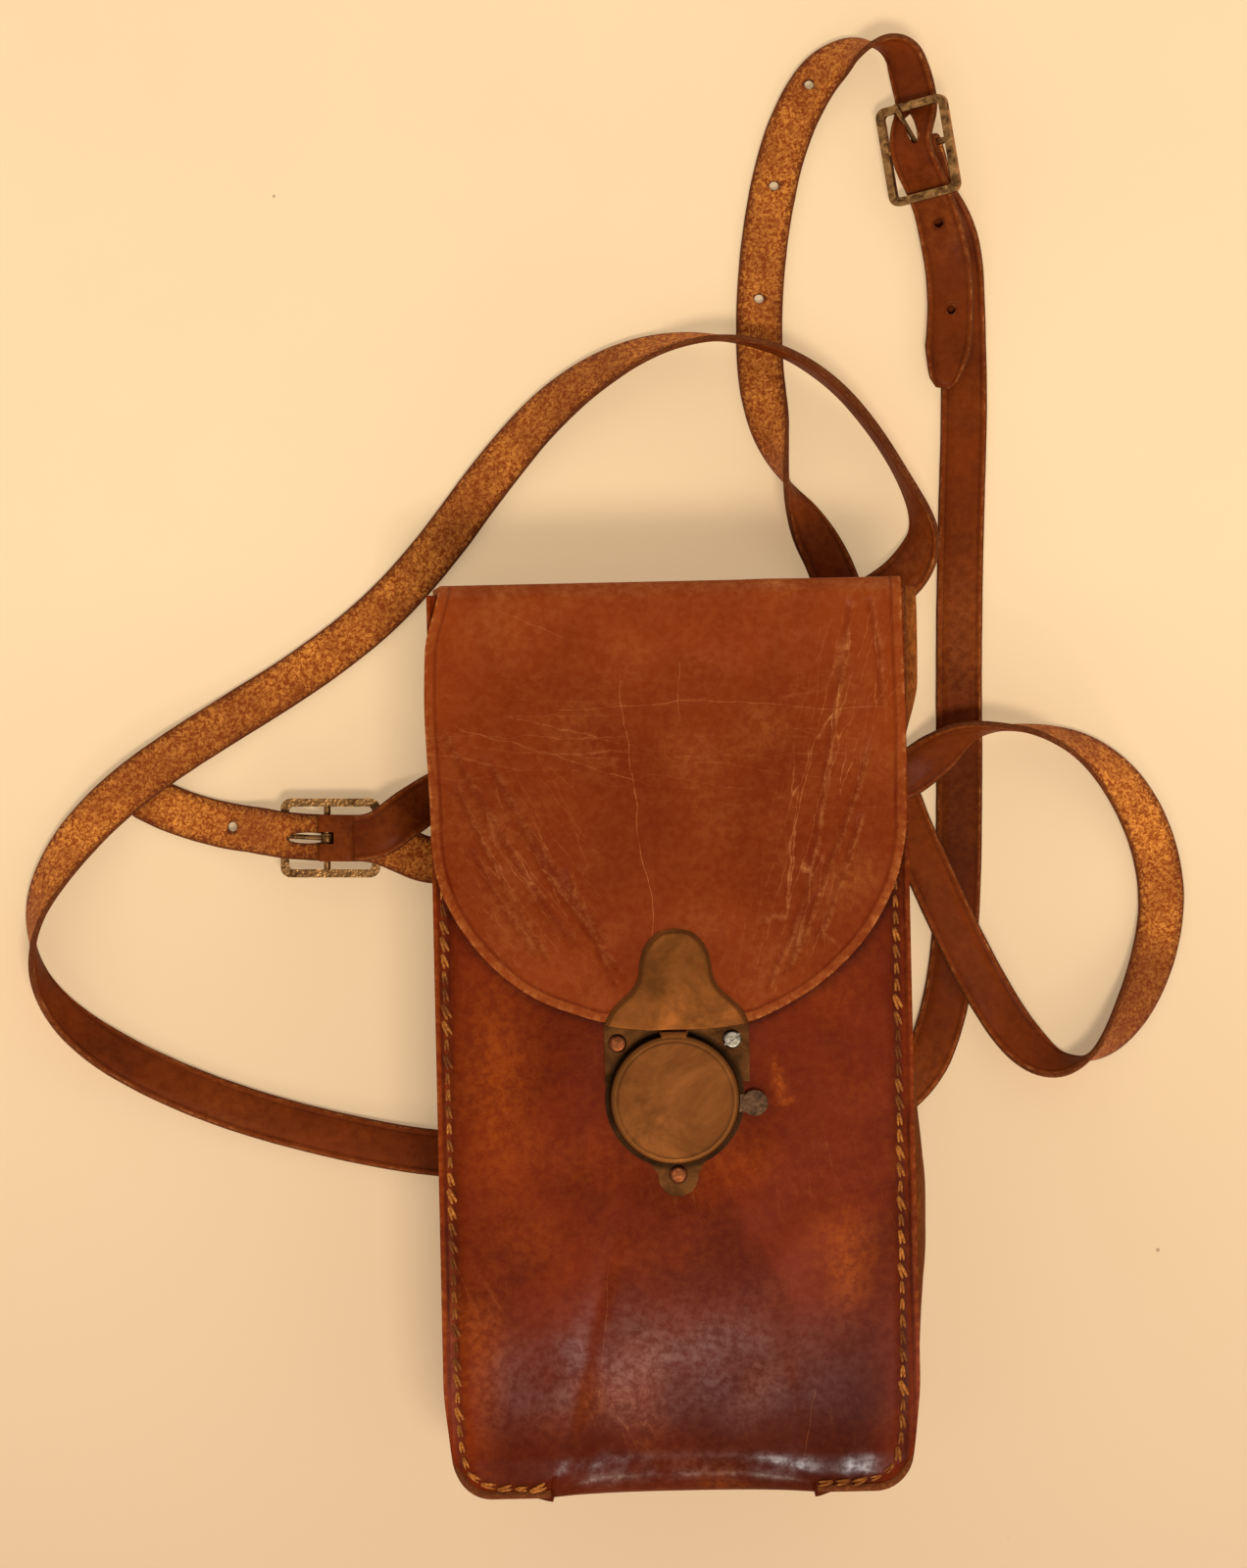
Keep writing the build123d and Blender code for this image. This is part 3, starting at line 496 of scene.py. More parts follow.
# %% Material maker: polished leather
pore_scale = 850.0
pore_depth = 0.00005
tooled_depth = 0.0004
coat_roughness = 0.27
base_shine = 0.025


def make_leather(name, base, dark, worn, pale, roughness=0.46, coat=0.012, cloud_scale=26.0, crazes=(),
                 hairlines=(), edge_wear=0.0, edge_line=1.8, line_depth=1.0, rubbed_edge=0.55):
    """Polished leather from its middle, dark, worn and cracked colours."""
    material, tree, shader = start_material(name)
    effects = use_group(tree, leather_effects, {"Cloud Scale": cloud_scale, "Pore Scale": pore_scale})
    clouds, speckle = effects["Clouds"], effects["Speckle"]
    look = blend_colours(tree, spread(tree, clouds, 0.1, 0.9, 0.0, 0.65), base, dark)
    look = blend_colours(tree, spread(tree, speckle, 0.0, 1.0, 0.0, 0.07), look, worn)
    # Darker where the shade mask says: dye, and on some pieces painted shade and shadow.
    look = blend_colours(tree, read_mask(tree, "shade"), look, dark)
    # Lighter where the wear mask says: rubbed places, and also a painted sheen on the long strap and a
    # painted highlight along the flap's fold.
    broken = spread(tree, speckle, 0.0, 1.0, 0.45, 1.25)
    rubbed = calculate(tree, "MULTIPLY", read_mask(tree, "wear"), broken, clamp=True)
    look = blend_colours(tree, rubbed, look, worn)
    # Pale where the crack mask says: cracks and flakes, and on the flap also painted highlights on the
    # wrinkles' crests.
    crack = read_mask(tree, "crack")
    flaky = calculate(tree, "MULTIPLY", crack, spread(tree, speckle, 0.2, 0.8, 0.25, 1.1), clamp=True)
    look = blend_colours(tree, flaky, look, pale)
    bump = calculate(tree, "MULTIPLY_ADD", crack, -1.2, effects["Height"])
    look, tooled = mark_edges(tree, look, effects, dark, worn, pale, edge_line, line_depth, edge_wear,
                              rubbed_edge)
    look, bump = mark_cracks(tree, look, bump, speckle, pale, hairlines, crazes)
    tree.links.new(look, shader.inputs["Base Color"])
    dullness = spread(tree, clouds, 0.0, 1.0, roughness - 0.05, roughness + 0.12)
    tree.links.new(dullness, shader.inputs["Roughness"])
    pores = set_relief(tree, shader, bump, 0.55, pore_depth)
    line = set_relief(tree, shader, tooled, 0.8, tooled_depth)
    line.invert = True
    tree.links.new(pores.outputs["Normal"], line.inputs["Normal"])
    pebbles = spread(tree, speckle, 0.0, 1.0, 0.22, 0.85)
    pebbled = calculate(tree, "MULTIPLY", read_mask(tree, "gloss"), pebbles)
    tree.links.new(calculate(tree, "ADD", pebbled, coat), shader.inputs["Coat Weight"])
    shader.inputs["Coat Roughness"].default_value = coat_roughness
    shader.inputs["Specular IOR Level"].default_value = base_shine
    return material


print("leather maker ready")

# %% [markdown]
# The front has kept its deep red brown, the flap has faded to orange brown and the sides are dry. A
# hairline is given by its start, its direction in degrees, its length and its strength. A bundle of cracks
# is given by the mask that it is in, its direction, its fineness and its strength.

# %% Leather of the front, the flap and the sides
front_leather = make_leather(
    "front_leather", colour(112, 32, 3), colour(52, 8, 1), colour(160, 72, 14), colour(186, 112, 60),
    rubbed_edge=0.15, crazes=[("craze", 72.0, 260.0, 0.30)],
    hairlines=[(-0.0195, -0.0600, 96.0, 0.045, 0.30), (0.0330, -0.1230, -80.0, 0.030, 0.30)])
flap_leather = make_leather(
    "flap_leather", colour(134, 50, 9), colour(92, 21, 1), colour(158, 84, 34), colour(196, 122, 66),
    roughness=0.50, cloud_scale=20.0, edge_wear=0.14, edge_line=3.0,
    crazes=[("fan_left", 56.0, 300.0, 0.35), ("fan_right", 104.0, 300.0, 0.55), ("craze", 4.0, 200.0, 0.30)],
    hairlines=[(-0.0135, 0.1060, 84.0, 0.080, 0.70), (-0.0330, 0.0930, -3.0, 0.045, 0.45),
               (0.0020, 0.0950, 3.0, 0.060, 0.50), (-0.0620, 0.0900, 18.0, 0.060, 0.40),
               (0.0030, 0.1090, 88.0, 0.022, 0.45), (-0.0500, 0.1230, 24.0, 0.024, 0.40)])
gusset_leather = make_leather(
    "gusset_leather", colour(104, 44, 13), colour(58, 18, 3), colour(158, 86, 32), colour(190, 130, 70),
    roughness=0.75, coat=0.0, line_depth=0.0)
strap_grain = make_leather(
    "strap_grain", colour(112, 44, 10), colour(60, 18, 3), colour(154, 76, 24), colour(196, 136, 80),
    roughness=0.46, coat=0.014, cloud_scale=55.0, line_depth=0.3)
print("polished", front_leather.name, flap_leather.name, gusset_leather.name, strap_grain.name)

# %% [markdown]
# The flesh side is the rough inside of the hide: orange tan, without polish, with dark pits and paler
# fibres. Cut edges are between the two: rough, and darkened by handling. One maker serves them all, because
# they differ only in their colours and in how fine they are.

# %% Material maker: flesh side and cut edge
def make_raw_leather(name, light, middle, dark, pit_scale, depth=0.00035, sheen=0.0, dark_rim=0.0):
    """Rough leather, mottled with pits and fibres. Handling can darken a rim of some millimetres."""
    material, tree, shader = start_material(name)
    place = object_place(tree)
    clouds = cloudy(tree, place, 60.0, 5.0, 0.6)
    pits = cloudy(tree, place, pit_scale, 5.0, 0.75, 0.8)
    fleck = spread(tree, pits, 0.44, 0.60)
    lit = calculate(tree, "MULTIPLY", fleck, spread(tree, clouds, 0.34, 0.60, 0.62, 1.0))
    look = blend_colours(tree, lit, middle, light)
    look = blend_colours(tree, spread(tree, clouds, 0.40, 0.66, 0.30, 0.0), look, dark)
    if dark_rim > 0.0:
        # On the straps the shade mask also carries painted shadows, so the flesh side shows them too.
        look = blend_colours(tree, read_mask(tree, "shade"), look, dark)
        near_edge = spread(tree, read_mask(tree, "edge_mm"), 0.2, dark_rim, 1.0, 0.0)
        handled = calculate(tree, "MULTIPLY_ADD", fleck, -0.5, near_edge, clamp=True)
        look = blend_colours(tree, handled, look, dark)
    tree.links.new(look, shader.inputs["Base Color"])
    shader.inputs["Roughness"].default_value = 0.85
    shader.inputs["Specular IOR Level"].default_value = 0.1
    shader.inputs["Sheen Weight"].default_value = sheen
    set_relief(tree, shader, pits, 0.7, depth)
    return material


flesh_side = make_raw_leather("flesh_side", colour(206, 118, 38), colour(172, 86, 20), colour(96, 42, 8),
                              430.0, depth=0.00045, sheen=0.05)
strap_flesh = make_raw_leather("strap_flesh", colour(232, 146, 60), colour(146, 64, 12), colour(92, 36, 8),
                               850.0, depth=0.00030, sheen=0.05, dark_rim=3.2)
cut_edge = make_raw_leather("cut_edge", colour(128, 68, 28), colour(96, 44, 14), colour(52, 20, 6), 900.0)
frayed_edge = make_raw_leather("frayed_edge", colour(176, 108, 56), colour(126, 62, 22), colour(74, 30, 8),
                               800.0)
print("raw", flesh_side.name, strap_flesh.name, cut_edge.name, frayed_edge.name)

# %% [markdown]
# ## Straps
# A strap is 14 mm wide and 2 mm thick. Its section has rounded edges, a slightly crowned grain side and a
# tooled line beside each edge. A bevelled curve could carry that section, but not a material for each side.
# So the section is swept along the line in code: polished grain on top, raw flesh below and a dark edge
# between.

# %% Section of a strap
strap_width = 0.0138
strap_thickness = 0.0020
tooled_share = 0.70
far_from_edge = 9.0
GRAIN, FLESH, EDGE = 0, 1, 2


def strap_section():
    """Points of the section as shares of the half width and half thickness, with the side of each strip."""
    top = [(0.92, 0.74), (0.84, 0.96), (0.76, 0.98), (tooled_share, 0.76), (0.64, 1.0), (0.35, 1.06),
           (0.0, 1.08)]
    top += [(-share, height) for share, height in reversed(top[:-1])]
    left = [(-0.98, 0.45), (-1.0, 0.0), (-0.98, -0.5)]
    under = [(-0.92, -0.9), (-0.5, -1.0), (0.0, -1.0), (0.5, -1.0), (0.92, -0.9)]
    right = [(0.98, -0.5), (1.0, 0.0), (0.98, 0.45)]
    sides = [GRAIN] * 12 + [EDGE] * 4 + [FLESH] * 4 + [EDGE] * 4
    return top + left + under + right, sides


print("section", len(strap_section()[0]), "points")

# %% Sweep a strap
# Place of a painted sheen on the long strap: it is lighter there in colour, and glossier.
sheen_from_x = 0.072
sheen_y = 0.114
sheen_reach = 0.022


def strap_marks(share, along, width, polished, coloured, seed):
    """Wear with a painted sheen, cracks, dye with painted shadow, distance to the edge and gloss at one point
    of a strap.
    """
    edge = soft_step(0.72, 0.95, abs(share))
    patch = max(0.0, rough(along, share * 0.004, 0.035, 9.0 + seed))
    fleck = max(0.0, rough(along, share * 0.01, 0.0035, 2.0) - 0.25)
    pressed = 0.35 if abs(abs(share) - tooled_share) < 0.01 else 0.0
    # Near the sheen place the strap is glossier, and lighter by a painted sheen in its wear.
    return {"wear": 0.06 + 0.25 * edge + 0.45 * patch + 0.35 * polished,
            "crack": min(1.0, 1.5 * fleck) if abs(share) > 0.9 else 0.0,
            "shade": min(1.0, max(pressed, coloured + 0.55 * rough(along, 0.0, 0.06, 17.0 + seed))),
            "edge_mm": (1.0 - abs(share)) * width * 500.0,
            "gloss": 0.20 * polished * (1.0 - 0.8 * share * share)}


def sweep_strap(name, line, widths, seed, painted_shadows):
    """A strap of leather along a line that was read from its route. It is darker at its painted shadows."""
    section, sides = strap_section()
    count = len(section)
    vertices, marks = [], []
    frames = zip(line["places"], line["across"], line["normal"], line["along"], widths)
    for place, side, up, along, width in frames:
        # Painted shadow: the strap is darkened near each listed place where shade falls on it.
        coloured = 0.0
        for shadow_x, shadow_y, reach_x, reach_y, strength in painted_shadows:
            off_x, off_y = (place[0] - shadow_x) / reach_x, (place[1] - shadow_y) / reach_y
            coloured += strength * math.exp(-off_x ** 2 - off_y ** 4)
        ragged = 1.0 + 0.012 * rough(along, 0.3, 0.006, seed)
        polished = 0.0
        if place[0] > sheen_from_x:
            polished = math.exp(-((place[1] - sheen_y) / sheen_reach) ** 2)
        for share, height in section:
            half = width * 0.5 * (ragged if abs(share) > 0.85 else 1.0)
            dip = 0.00006 * rough(along, share * 0.01, 0.010, 4.0)
            vertices.append(place + side * share * half + up * (height * strap_thickness * 0.5 + dip))
            marks.append(strap_marks(share, along, width, polished, coloured, seed))
    faces, slots = [], []
    last_row = (len(widths) - 1) * count
    for row in range(0, last_row, count):
        for column in range(count):
            a, b = row + column, row + (column + 1) % count
            faces.append((a, a + count, b + count, b))
            slots.append(sides[column])
    faces += [tuple(range(count)), tuple(reversed(range(last_row, last_row + count)))]
    slots += [EDGE, EDGE]
    strap = add_mesh(name, vertices, faces, (strap_grain, strap_flesh, cut_edge), slots)
    add_masks(strap, **{label: [mark[label] for mark in marks] for label in marks[0]})
    point_outward(strap)
    print(name, len(strap.data.polygons), "faces")
    return strap


print("straps can be swept")

# %% [markdown]
# The short strap turns over once behind the case, where it is squeezed narrow, and both its ends are cut to
# a round tip. So its width changes along its line. The long strap is as wide all along.

# %% Make both straps
squeeze_place = np.array((-0.0040, 0.0577))
squeeze_width = 0.0044
tip_length = 0.012
tip_width = 0.0040
short_widths = []
for place, so_far in zip(short_line["places"], short_line["along"]):
    width = strap_width
    from_tip = min(so_far, short_line["length"] - so_far)
    if from_tip < tip_length:
        width = tip_width + (strap_width - tip_width) * math.sqrt(from_tip / tip_length)
    off = np.linalg.norm(place[:2] - squeeze_place)
    width = min(width, squeeze_width + (strap_width - squeeze_width) * float(soft_step(0.017, 0.044, off)))
    short_widths.append(width)

# Painted shadows: on the long strap where the short strap's loop shades it, and on the loop's lower part,
# which turns away from the lamp.
long_strap = sweep_strap("long_strap", long_line, [strap_width] * len(long_line["places"]), 0.7,
                         [(0.0875, 0.0560, 0.012, 0.045, 0.50)])
short_strap = sweep_strap("short_strap", short_line, short_widths, 0.2,
                          [(0.1390, 0.0020, 0.016, 0.020, 0.50)])

# %% [markdown]
# The short strap has a row of punched holes, and two of them have been pulled long by the prongs. A dark
# spot in the material would look like a hole only from above. So each hole is cut with a slim bar, which
# leaves real walls inside the leather.

# %% Punch the holes
hole_radius = 0.0014
slot_widening = 1.15
punch_height = 0.012
hole_places = [(0.0843, 0.2364, 0.0074), (0.0876, 0.2110, 0.0040), (0.0470, 0.2791, 0.0026),
               (0.0360, 0.2495, 0.0012), (0.0308, 0.2159, 0.0012), (-0.1293, 0.0620, 0.0019)]
prong_slots = [((-0.1067, 0.0582, 0.0050), 178.75, 4.2), ((0.0762, 0.2645, 0.0122), 98.2, 4.2)]


def cutter_at(place, heading, stretch):
    """An upright round bar that is stretched along a heading, used only to cut."""
    turned = Matrix.Translation(place) @ Matrix.Rotation(math.radians(heading), 4, "Z")
    work = bmesh.new()
    bmesh.ops.create_cone(work, cap_ends=True, segments=20, radius1=hole_radius, radius2=hole_radius,
                          depth=punch_height)
    for vertex in work.verts:
        vertex.co.x *= stretch
        if stretch > 1.0:
            vertex.co.y *= slot_widening
    work.transform(turned)
    mesh = bpy.data.meshes.new("punch")
    work.to_mesh(mesh)
    work.free()
    return mesh


def punch(strap, meshes):
    """Cuts all the given bars out of a strap at once."""
    work = bmesh.new()
    for mesh in meshes:
        work.from_mesh(mesh)
    joined = bpy.data.meshes.new("punches")
    work.to_mesh(joined)
    work.free()
    tool = bpy.data.objects.new("punches", joined)
    bpy.context.scene.collection.objects.link(tool)
    cut = strap.modifiers.new("holes", "BOOLEAN")
    cut.operation = "DIFFERENCE"
    cut.solver = "EXACT"
    cut.object = tool
    apply_modifiers(strap)
    bpy.data.objects.remove(tool)


before = len(short_strap.data.polygons)
bars = [cutter_at(place, 0.0, 1.0) for place in hole_places]
bars += [cutter_at(place, heading, stretch) for place, heading, stretch in prong_slots]
punch(short_strap, bars)
print("short strap", before, "faces before and", len(short_strap.data.polygons), "after punching")

# %% [markdown]
# Each end of the long strap is folded round the centre bar of a buckle and sewn to itself. The fold is a
# thinner ribbon: it comes from the end of the strap, goes round the bar and comes back under the strap. Its
# outline is drawn flat, seen along the bar, and then set in the directions of its buckle.

# %% Outline of a folded end
fold_thickness = 0.0014
bar_radius = 0.0010
fold_lean = math.radians(15.0)
bar_gap_mm = 0.3


def buckle_frame_of(place, heading, roll):
    """The three directions of a buckle: to the prong's bar, along the bars and out of its face."""
    h, r = math.radians(heading), math.radians(roll)
    forward = Vector((math.cos(h), math.sin(h), 0.0))
    side = Vector((-math.sin(h), math.cos(h), 0.0))
    up = Vector((0.0, 0.0, 1.0))
    along_bar = side * math.cos(r) + up * math.sin(r)
    outward = up * math.cos(r) - side * math.sin(r)
    return Vector(place), forward, along_bar, outward


buckle_left = buckle_frame_of((-0.1009, 0.0581, 0.0068), 178.75, 180.0)
buckle_top = buckle_frame_of((0.0783, 0.2585, 0.0105), 98.2, -32.0)


def fold_outline():
    """Middle line of the folded leather, seen along the bar, in millimetres."""
    middle = bar_radius * 1000.0 + bar_gap_mm + fold_thickness * 500.0
    points = [(-9.0, -middle), (-6.0, -middle), (-3.0, -middle)]
    for step in range(13):
        angle = math.radians(-90.0 + 15.0 * step)
        points.append((middle * math.cos(angle), middle * math.sin(angle)))
    points += [(-2.2, middle - 0.5), (-3.6, 0.2), (-4.6, -0.55), (-7.5, -0.55), (-10.5, -0.6)]
    over, up = math.cos(fold_lean), math.sin(fold_lean)
    return [(u * over - w * up, w * over + u * up) for u, w in points]


print("fold", len(fold_outline()), "points")

# %% Folded ends
prong_slot_rows = range(2, 16)
prong_slot_column = 3


def make_fold(name, buckle):
    """The folded end as a ribbon of even thickness, with a slot for the prong's eye."""
    origin, forward, along_bar, outward = buckle
    outline = fold_outline()
    count = len(outline)
    stations = (-1.0, -0.94, -0.6, -0.26, 0.26, 0.6, 0.94, 1.0)
    vertices, faces, slots = [], [], []
    for layer in (0.5, -0.5):
        for index, (u, w) in enumerate(outline):
            first, last = outline[max(index - 1, 0)], outline[min(index + 1, count - 1)]
            du, dw = last[0] - first[0], last[1] - first[1]
            size = math.hypot(du, dw)
            out_u, out_w = dw / size, -du / size
            for share in stations:
                thin = 0.7 if abs(share) == 1.0 else 1.0
                push = layer * fold_thickness * 1000.0 * thin
                spot = origin + forward * (u + out_u * push) * 0.001
                spot += outward * (w + out_w * push) * 0.001 + along_bar * share * strap_width * 0.5
                vertices.append(spot)
    width = len(stations)
    size = count * width
    for row in range(count - 1):
        for column in range(width - 1):
            if row in prong_slot_rows and column == prong_slot_column:
                continue
            a = row * width + column
            faces.append((a, a + 1, a + width + 1, a + width))
            faces.append((a + size, a + width + size, a + width + 1 + size, a + 1 + size))
            slots += [GRAIN, FLESH]
    sides = {}
    for face in faces:
        for side in zip(face, face[1:] + face[:1]):
            sides[side] = True
    for first, last in sides:
        if max(first, last) < size and (last, first) not in sides:
            faces.append((last, first, first + size, last + size))
            slots.append(EDGE)
    fold = add_mesh(name, vertices, faces, (strap_grain, strap_flesh, cut_edge), slots)
    add_masks(fold, wear=0.2, shade=0.1, edge_mm=far_from_edge)
    point_outward(fold)
    return fold


fold_left = make_fold("fold_left", buckle_left)
fold_top = make_fold("fold_top", buckle_top)
print("folds", len(fold_left.data.polygons), "faces each")

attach(long_strap, "case")
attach(short_strap, "case")
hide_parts("strap_1")
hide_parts("strap_2")
for fold, node in ((fold_left, "strap_1_fold_left"), (fold_top, "strap_1_fold_top")):
    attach(fold, "case")
    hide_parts(node)

# %% [markdown]
# ## The body
# The front, the bottom and the back are one piece of leather. A box with rounded edges would be quicker,
# but it would hide how the case is cut. So it is drawn as a grid: rows run across the case, and go down the
# front, round the bottom and up the back. In the middle the sheet rolls smoothly over the bottom, while the
# two corners beside it end in a cut edge, which leaves the small ears at the bottom.

# %% Sizes of the body
half_width = 0.067
top_y = 0.1263
bottom_y = -0.129
front_z = 0.0626
back_z = 0.0056
wrap_thickness = 0.0024
corner = 0.012
strip_half = 0.037
roll_radius = 0.013
edge_roll = 0.0065
ear_start = math.radians(30.0)
wing_end = math.radians(66.0)
ear_width = 0.0042
back_top_y = 0.1163
disc_middle = (-0.0002, -0.0165)
disc_reach = 0.027
groove_x = 0.0632


def crease(x, y, at_x, at_y, slope, reach, depth, start, end):
    """Depth of one crease that leans by a slope, between two stretches of Y where it starts and ends."""
    middle = at_x + slope * (y - at_y)
    shown = float(soft_step(*start, y) * (1.0 - soft_step(*end, y)))
    return -depth * shown * math.exp(-((x - middle) / reach) ** 2)


def front_height(x, y):
    """Height of the front: pillowed in the middle, with dents, creases and a groove under each seam."""
    quiet = 1.0 - math.exp(-(math.hypot(x - disc_middle[0], y - disc_middle[1]) / disc_reach) ** 6)
    pillow = 0.0007 * quiet * (1.0 - (x / half_width) ** 2) * float(soft_step(-0.125, -0.05, y)) - 0.0001
    dents = quiet * (0.00032 * rough(x, y, 0.035, 1.0) + 0.00010 * rough(x, y, 0.012, 2.0))
    hollow = -0.0009 * bell(x, y, 0.004, -0.092, 0.040, 0.016)
    groove = -0.00045 * math.exp(-((abs(x) - groove_x) / 0.0011) ** 2) * float(soft_step(-0.127, -0.12, y))
    sag = -0.0020 * max(0.0, min(1.0, (-0.094 - y) / 0.024)) ** 2
    wander = 0.0010 * rough(y, 0.0, 0.015, 7.0)
    folds = crease(x - wander, y, -0.0221, -0.0694, 0.25, 0.0028, 0.00028, (-0.124, -0.105), (-0.075, -0.045))
    folds += crease(x, y, 0.0288, -0.094, -0.18, 0.0020, 0.00018, (-0.124, -0.110), (-0.100, -0.080))
    folds += crease(x, y, -0.037, -0.127, 0.95, 0.0018, 0.0008, (-0.20, -0.19), (-0.122, -0.112))
    return front_z + pillow + dents + hollow + groove + sag + folds


print("body", half_width * 2, "m wide")

# %% [markdown]
# The flap ends on the front in a round tongue. The front has a painted shadow along that line, under the
# tongue's edge, so the line is needed before the flap itself. Its control points were measured along the edge
# in the picture, and a smooth line through few points is rounder than one that is traced with many.

# %% Outline of the flap's tongue
tongue_line = read_line("tongue", [
    (-0.0670, 0.0585, 0.0), (-0.0668, 0.0500, 0.0), (-0.0628, 0.0380, 0.0), (-0.0535, 0.0240, 0.0),
    (-0.0400, 0.0125, 0.0), (-0.0240, 0.0066, 0.0), (-0.0175, 0.0050, 0.0), (-0.0090, 0.0080, 0.0),
    (0.0000, 0.0080, 0.0), (0.0100, 0.0080, 0.0), (0.0185, 0.0044, 0.0), (0.0240, 0.0056, 0.0),
    (0.0400, 0.0138, 0.0), (0.0535, 0.0260, 0.0), (0.0620, 0.0400, 0.0),
    (0.0656, 0.0520, 0.0), (0.0664, 0.0600, 0.0)])[:, :2]


def from_line(line, x, y):
    """Distance of a point from the nearest point of a line."""
    return float(np.min(np.hypot(line[:, 0] - x, line[:, 1] - y)))


print("tongue", len(tongue_line), "points, lowest y", round(float(tongue_line[:, 1].min()), 4))

# %% [markdown]
# The grid has three parts on each face: a wing at each side, and the middle. The wings stop where the middle
# starts to roll, and they meet it in shared points, which are merged afterwards.

# %% Rows and columns of the body
row_step = 0.0012
bend_rows = 56
back_rows = 66
front_step = (top_y - bottom_y) / int((top_y - bottom_y) / row_step)
flat_rows = int((top_y - bottom_y - roll_radius) / front_step)
wing_columns = [strip_half + 0.0015 * k for k in range(12)]
wing_columns += [half_width - corner + corner * math.sin(math.radians(10.0 * k)) for k in range(10)]
centre_columns = [-strip_half + strip_half * 2.0 * k / 48 for k in range(49)]


def side_x(x, y):
    """Draws the sides in a little towards the bottom, as the worn corners are."""
    past = max(0.0, x - strip_half)
    return x - 0.057 * past * float(1.0 - soft_step(-0.119, -0.095, y))


def low_edge(x):
    """Lowest point of the front at a distance from its middle."""
    past = abs(x) - (half_width - corner)
    if past <= 0.0:
        return bottom_y
    return bottom_y + corner - math.sqrt(max(corner * corner - past * past, 0.0))


def grid_faces(rows, columns, start=0, flip=False):
    """Quads between the points of a grid that is stored row by row."""
    faces = []
    for r in range(rows - 1):
        for c in range(columns - 1):
            a = start + r * columns + c
            quad = (a, a + 1, a + columns + 1, a + columns)
            faces.append(tuple(reversed(quad)) if flip else quad)
    return faces


print("rows", flat_rows, "flat,", bend_rows, "round the bottom and", back_rows, "up the back")

# %% Roll the skin over the bottom
def bottom_radius(share):
    """Radius of the roll, from the middle of the strip, 0, to its side, 1."""
    return edge_roll + (roll_radius - edge_roll) * (1.0 - share ** 3)


def rolled(x, row, share):
    """Y, Z and how far the skin has turned under, at one row of the part that rolls over the bottom."""
    radius = bottom_radius(share)
    arc = radius * math.pi / 2.0
    front_flat = top_y - bottom_y - radius
    strip = front_z - back_z - 2.0 * radius
    first = flat_rows * front_step
    last = front_flat + 2.0 * arc + strip
    so_far = row * front_step
    if row > flat_rows:
        so_far = first + (last - first) * (row - flat_rows) / bend_rows
    if so_far <= front_flat:
        y = top_y - so_far
        return y, front_height(x, y), 0.0
    if so_far < front_flat + arc:
        turn = (so_far - front_flat) / radius
        sink = front_height(x, bottom_y + radius) - front_z
        y = bottom_y + radius - radius * math.sin(turn)
        return y, front_z + sink * math.cos(turn) - radius + radius * math.cos(turn), turn
    if so_far < front_flat + arc + strip:
        down = so_far - front_flat - arc
        swell = 0.0003 * math.sin(math.pi * down / strip) * (1.0 - share ** 2)
        return bottom_y - swell, front_z - radius - down, math.pi / 2.0
    turn = (so_far - front_flat - arc - strip) / radius
    return bottom_y + radius - radius * math.cos(turn), back_z + radius - radius * math.sin(turn), math.pi


def wing_points(side, back):
    """One side part of the front or of the back, down to its cut lower edge."""
    top = back_top_y if back else top_y
    points, rows = [], 0
    for r in range(flat_rows + bend_rows):
        y0, z0, turn = rolled(strip_half, r, 1.0)
        if turn > wing_end:
            break
        rows += 1
        for x in wing_columns:
            y = top + (min(y0, top) - top) * (top - low_edge(x)) / (top - bottom_y)
            sink = front_height(strip_half, max(y0, bottom_y + edge_roll)) - z0 if turn > 0.0 else 0.0
            ear = float(soft_step(ear_start, wing_end, turn)) * math.exp(-((x - strip_half) / ear_width) ** 2)
            if back:
                points.append((side * side_x(x, y), y, back_z + sink))
            else:
                height = front_height(side * x, y) - sink * (1.0 - 0.30 * ear)
                points.append((side * side_x(x, y), y - 0.0016 * ear, height))
    return points, rows


def centre_points():
    """The middle part, which rolls from the front over the bottom to the back."""
    points = []
    for r in range(flat_rows + bend_rows + back_rows + 1):
        for x in centre_columns:
            share = abs(x) / strip_half
            if r <= flat_rows + bend_rows:
                y, z, _ = rolled(x, r, share)
            else:
                low = bottom_y + bottom_radius(share)
                y, z = low + (back_top_y - low) * (r - flat_rows - bend_rows) / back_rows, back_z
            points.append((x, y, z))
    return points, flat_rows + bend_rows + back_rows + 1


def build_body():
    """Front, bottom and back as one outer skin, with the shared points merged."""
    vertices, faces = [], []
    for back in (False, True):
        for side in (-1, 1):
            points, rows = wing_points(side, back)
            faces += grid_faces(rows, len(wing_columns), len(vertices), flip=(side > 0) != back)
            vertices += points
    points, rows = centre_points()
    faces += grid_faces(rows, len(centre_columns), len(vertices), flip=True)
    vertices += points
    body = add_mesh("body_leather", vertices, faces, (front_leather, flesh_side, cut_edge))
    work = bmesh.new()
    work.from_mesh(body.data)
    bmesh.ops.remove_doubles(work, verts=work.verts, dist=0.00001)
    work.to_mesh(body.data)
    work.free()
    return body


body_leather = build_body()
print("body skin", len(body_leather.data.polygons), "faces")

# %% [markdown]
# The masks of the body are worked out point by point. Round worn spots and glints are bells, given by their
# middle, their reach and their strength. Uneven wear is noise, read at the place that a point would have if
# the leather were laid flat, so that it doesn't smear into stripes where the skin turns under.

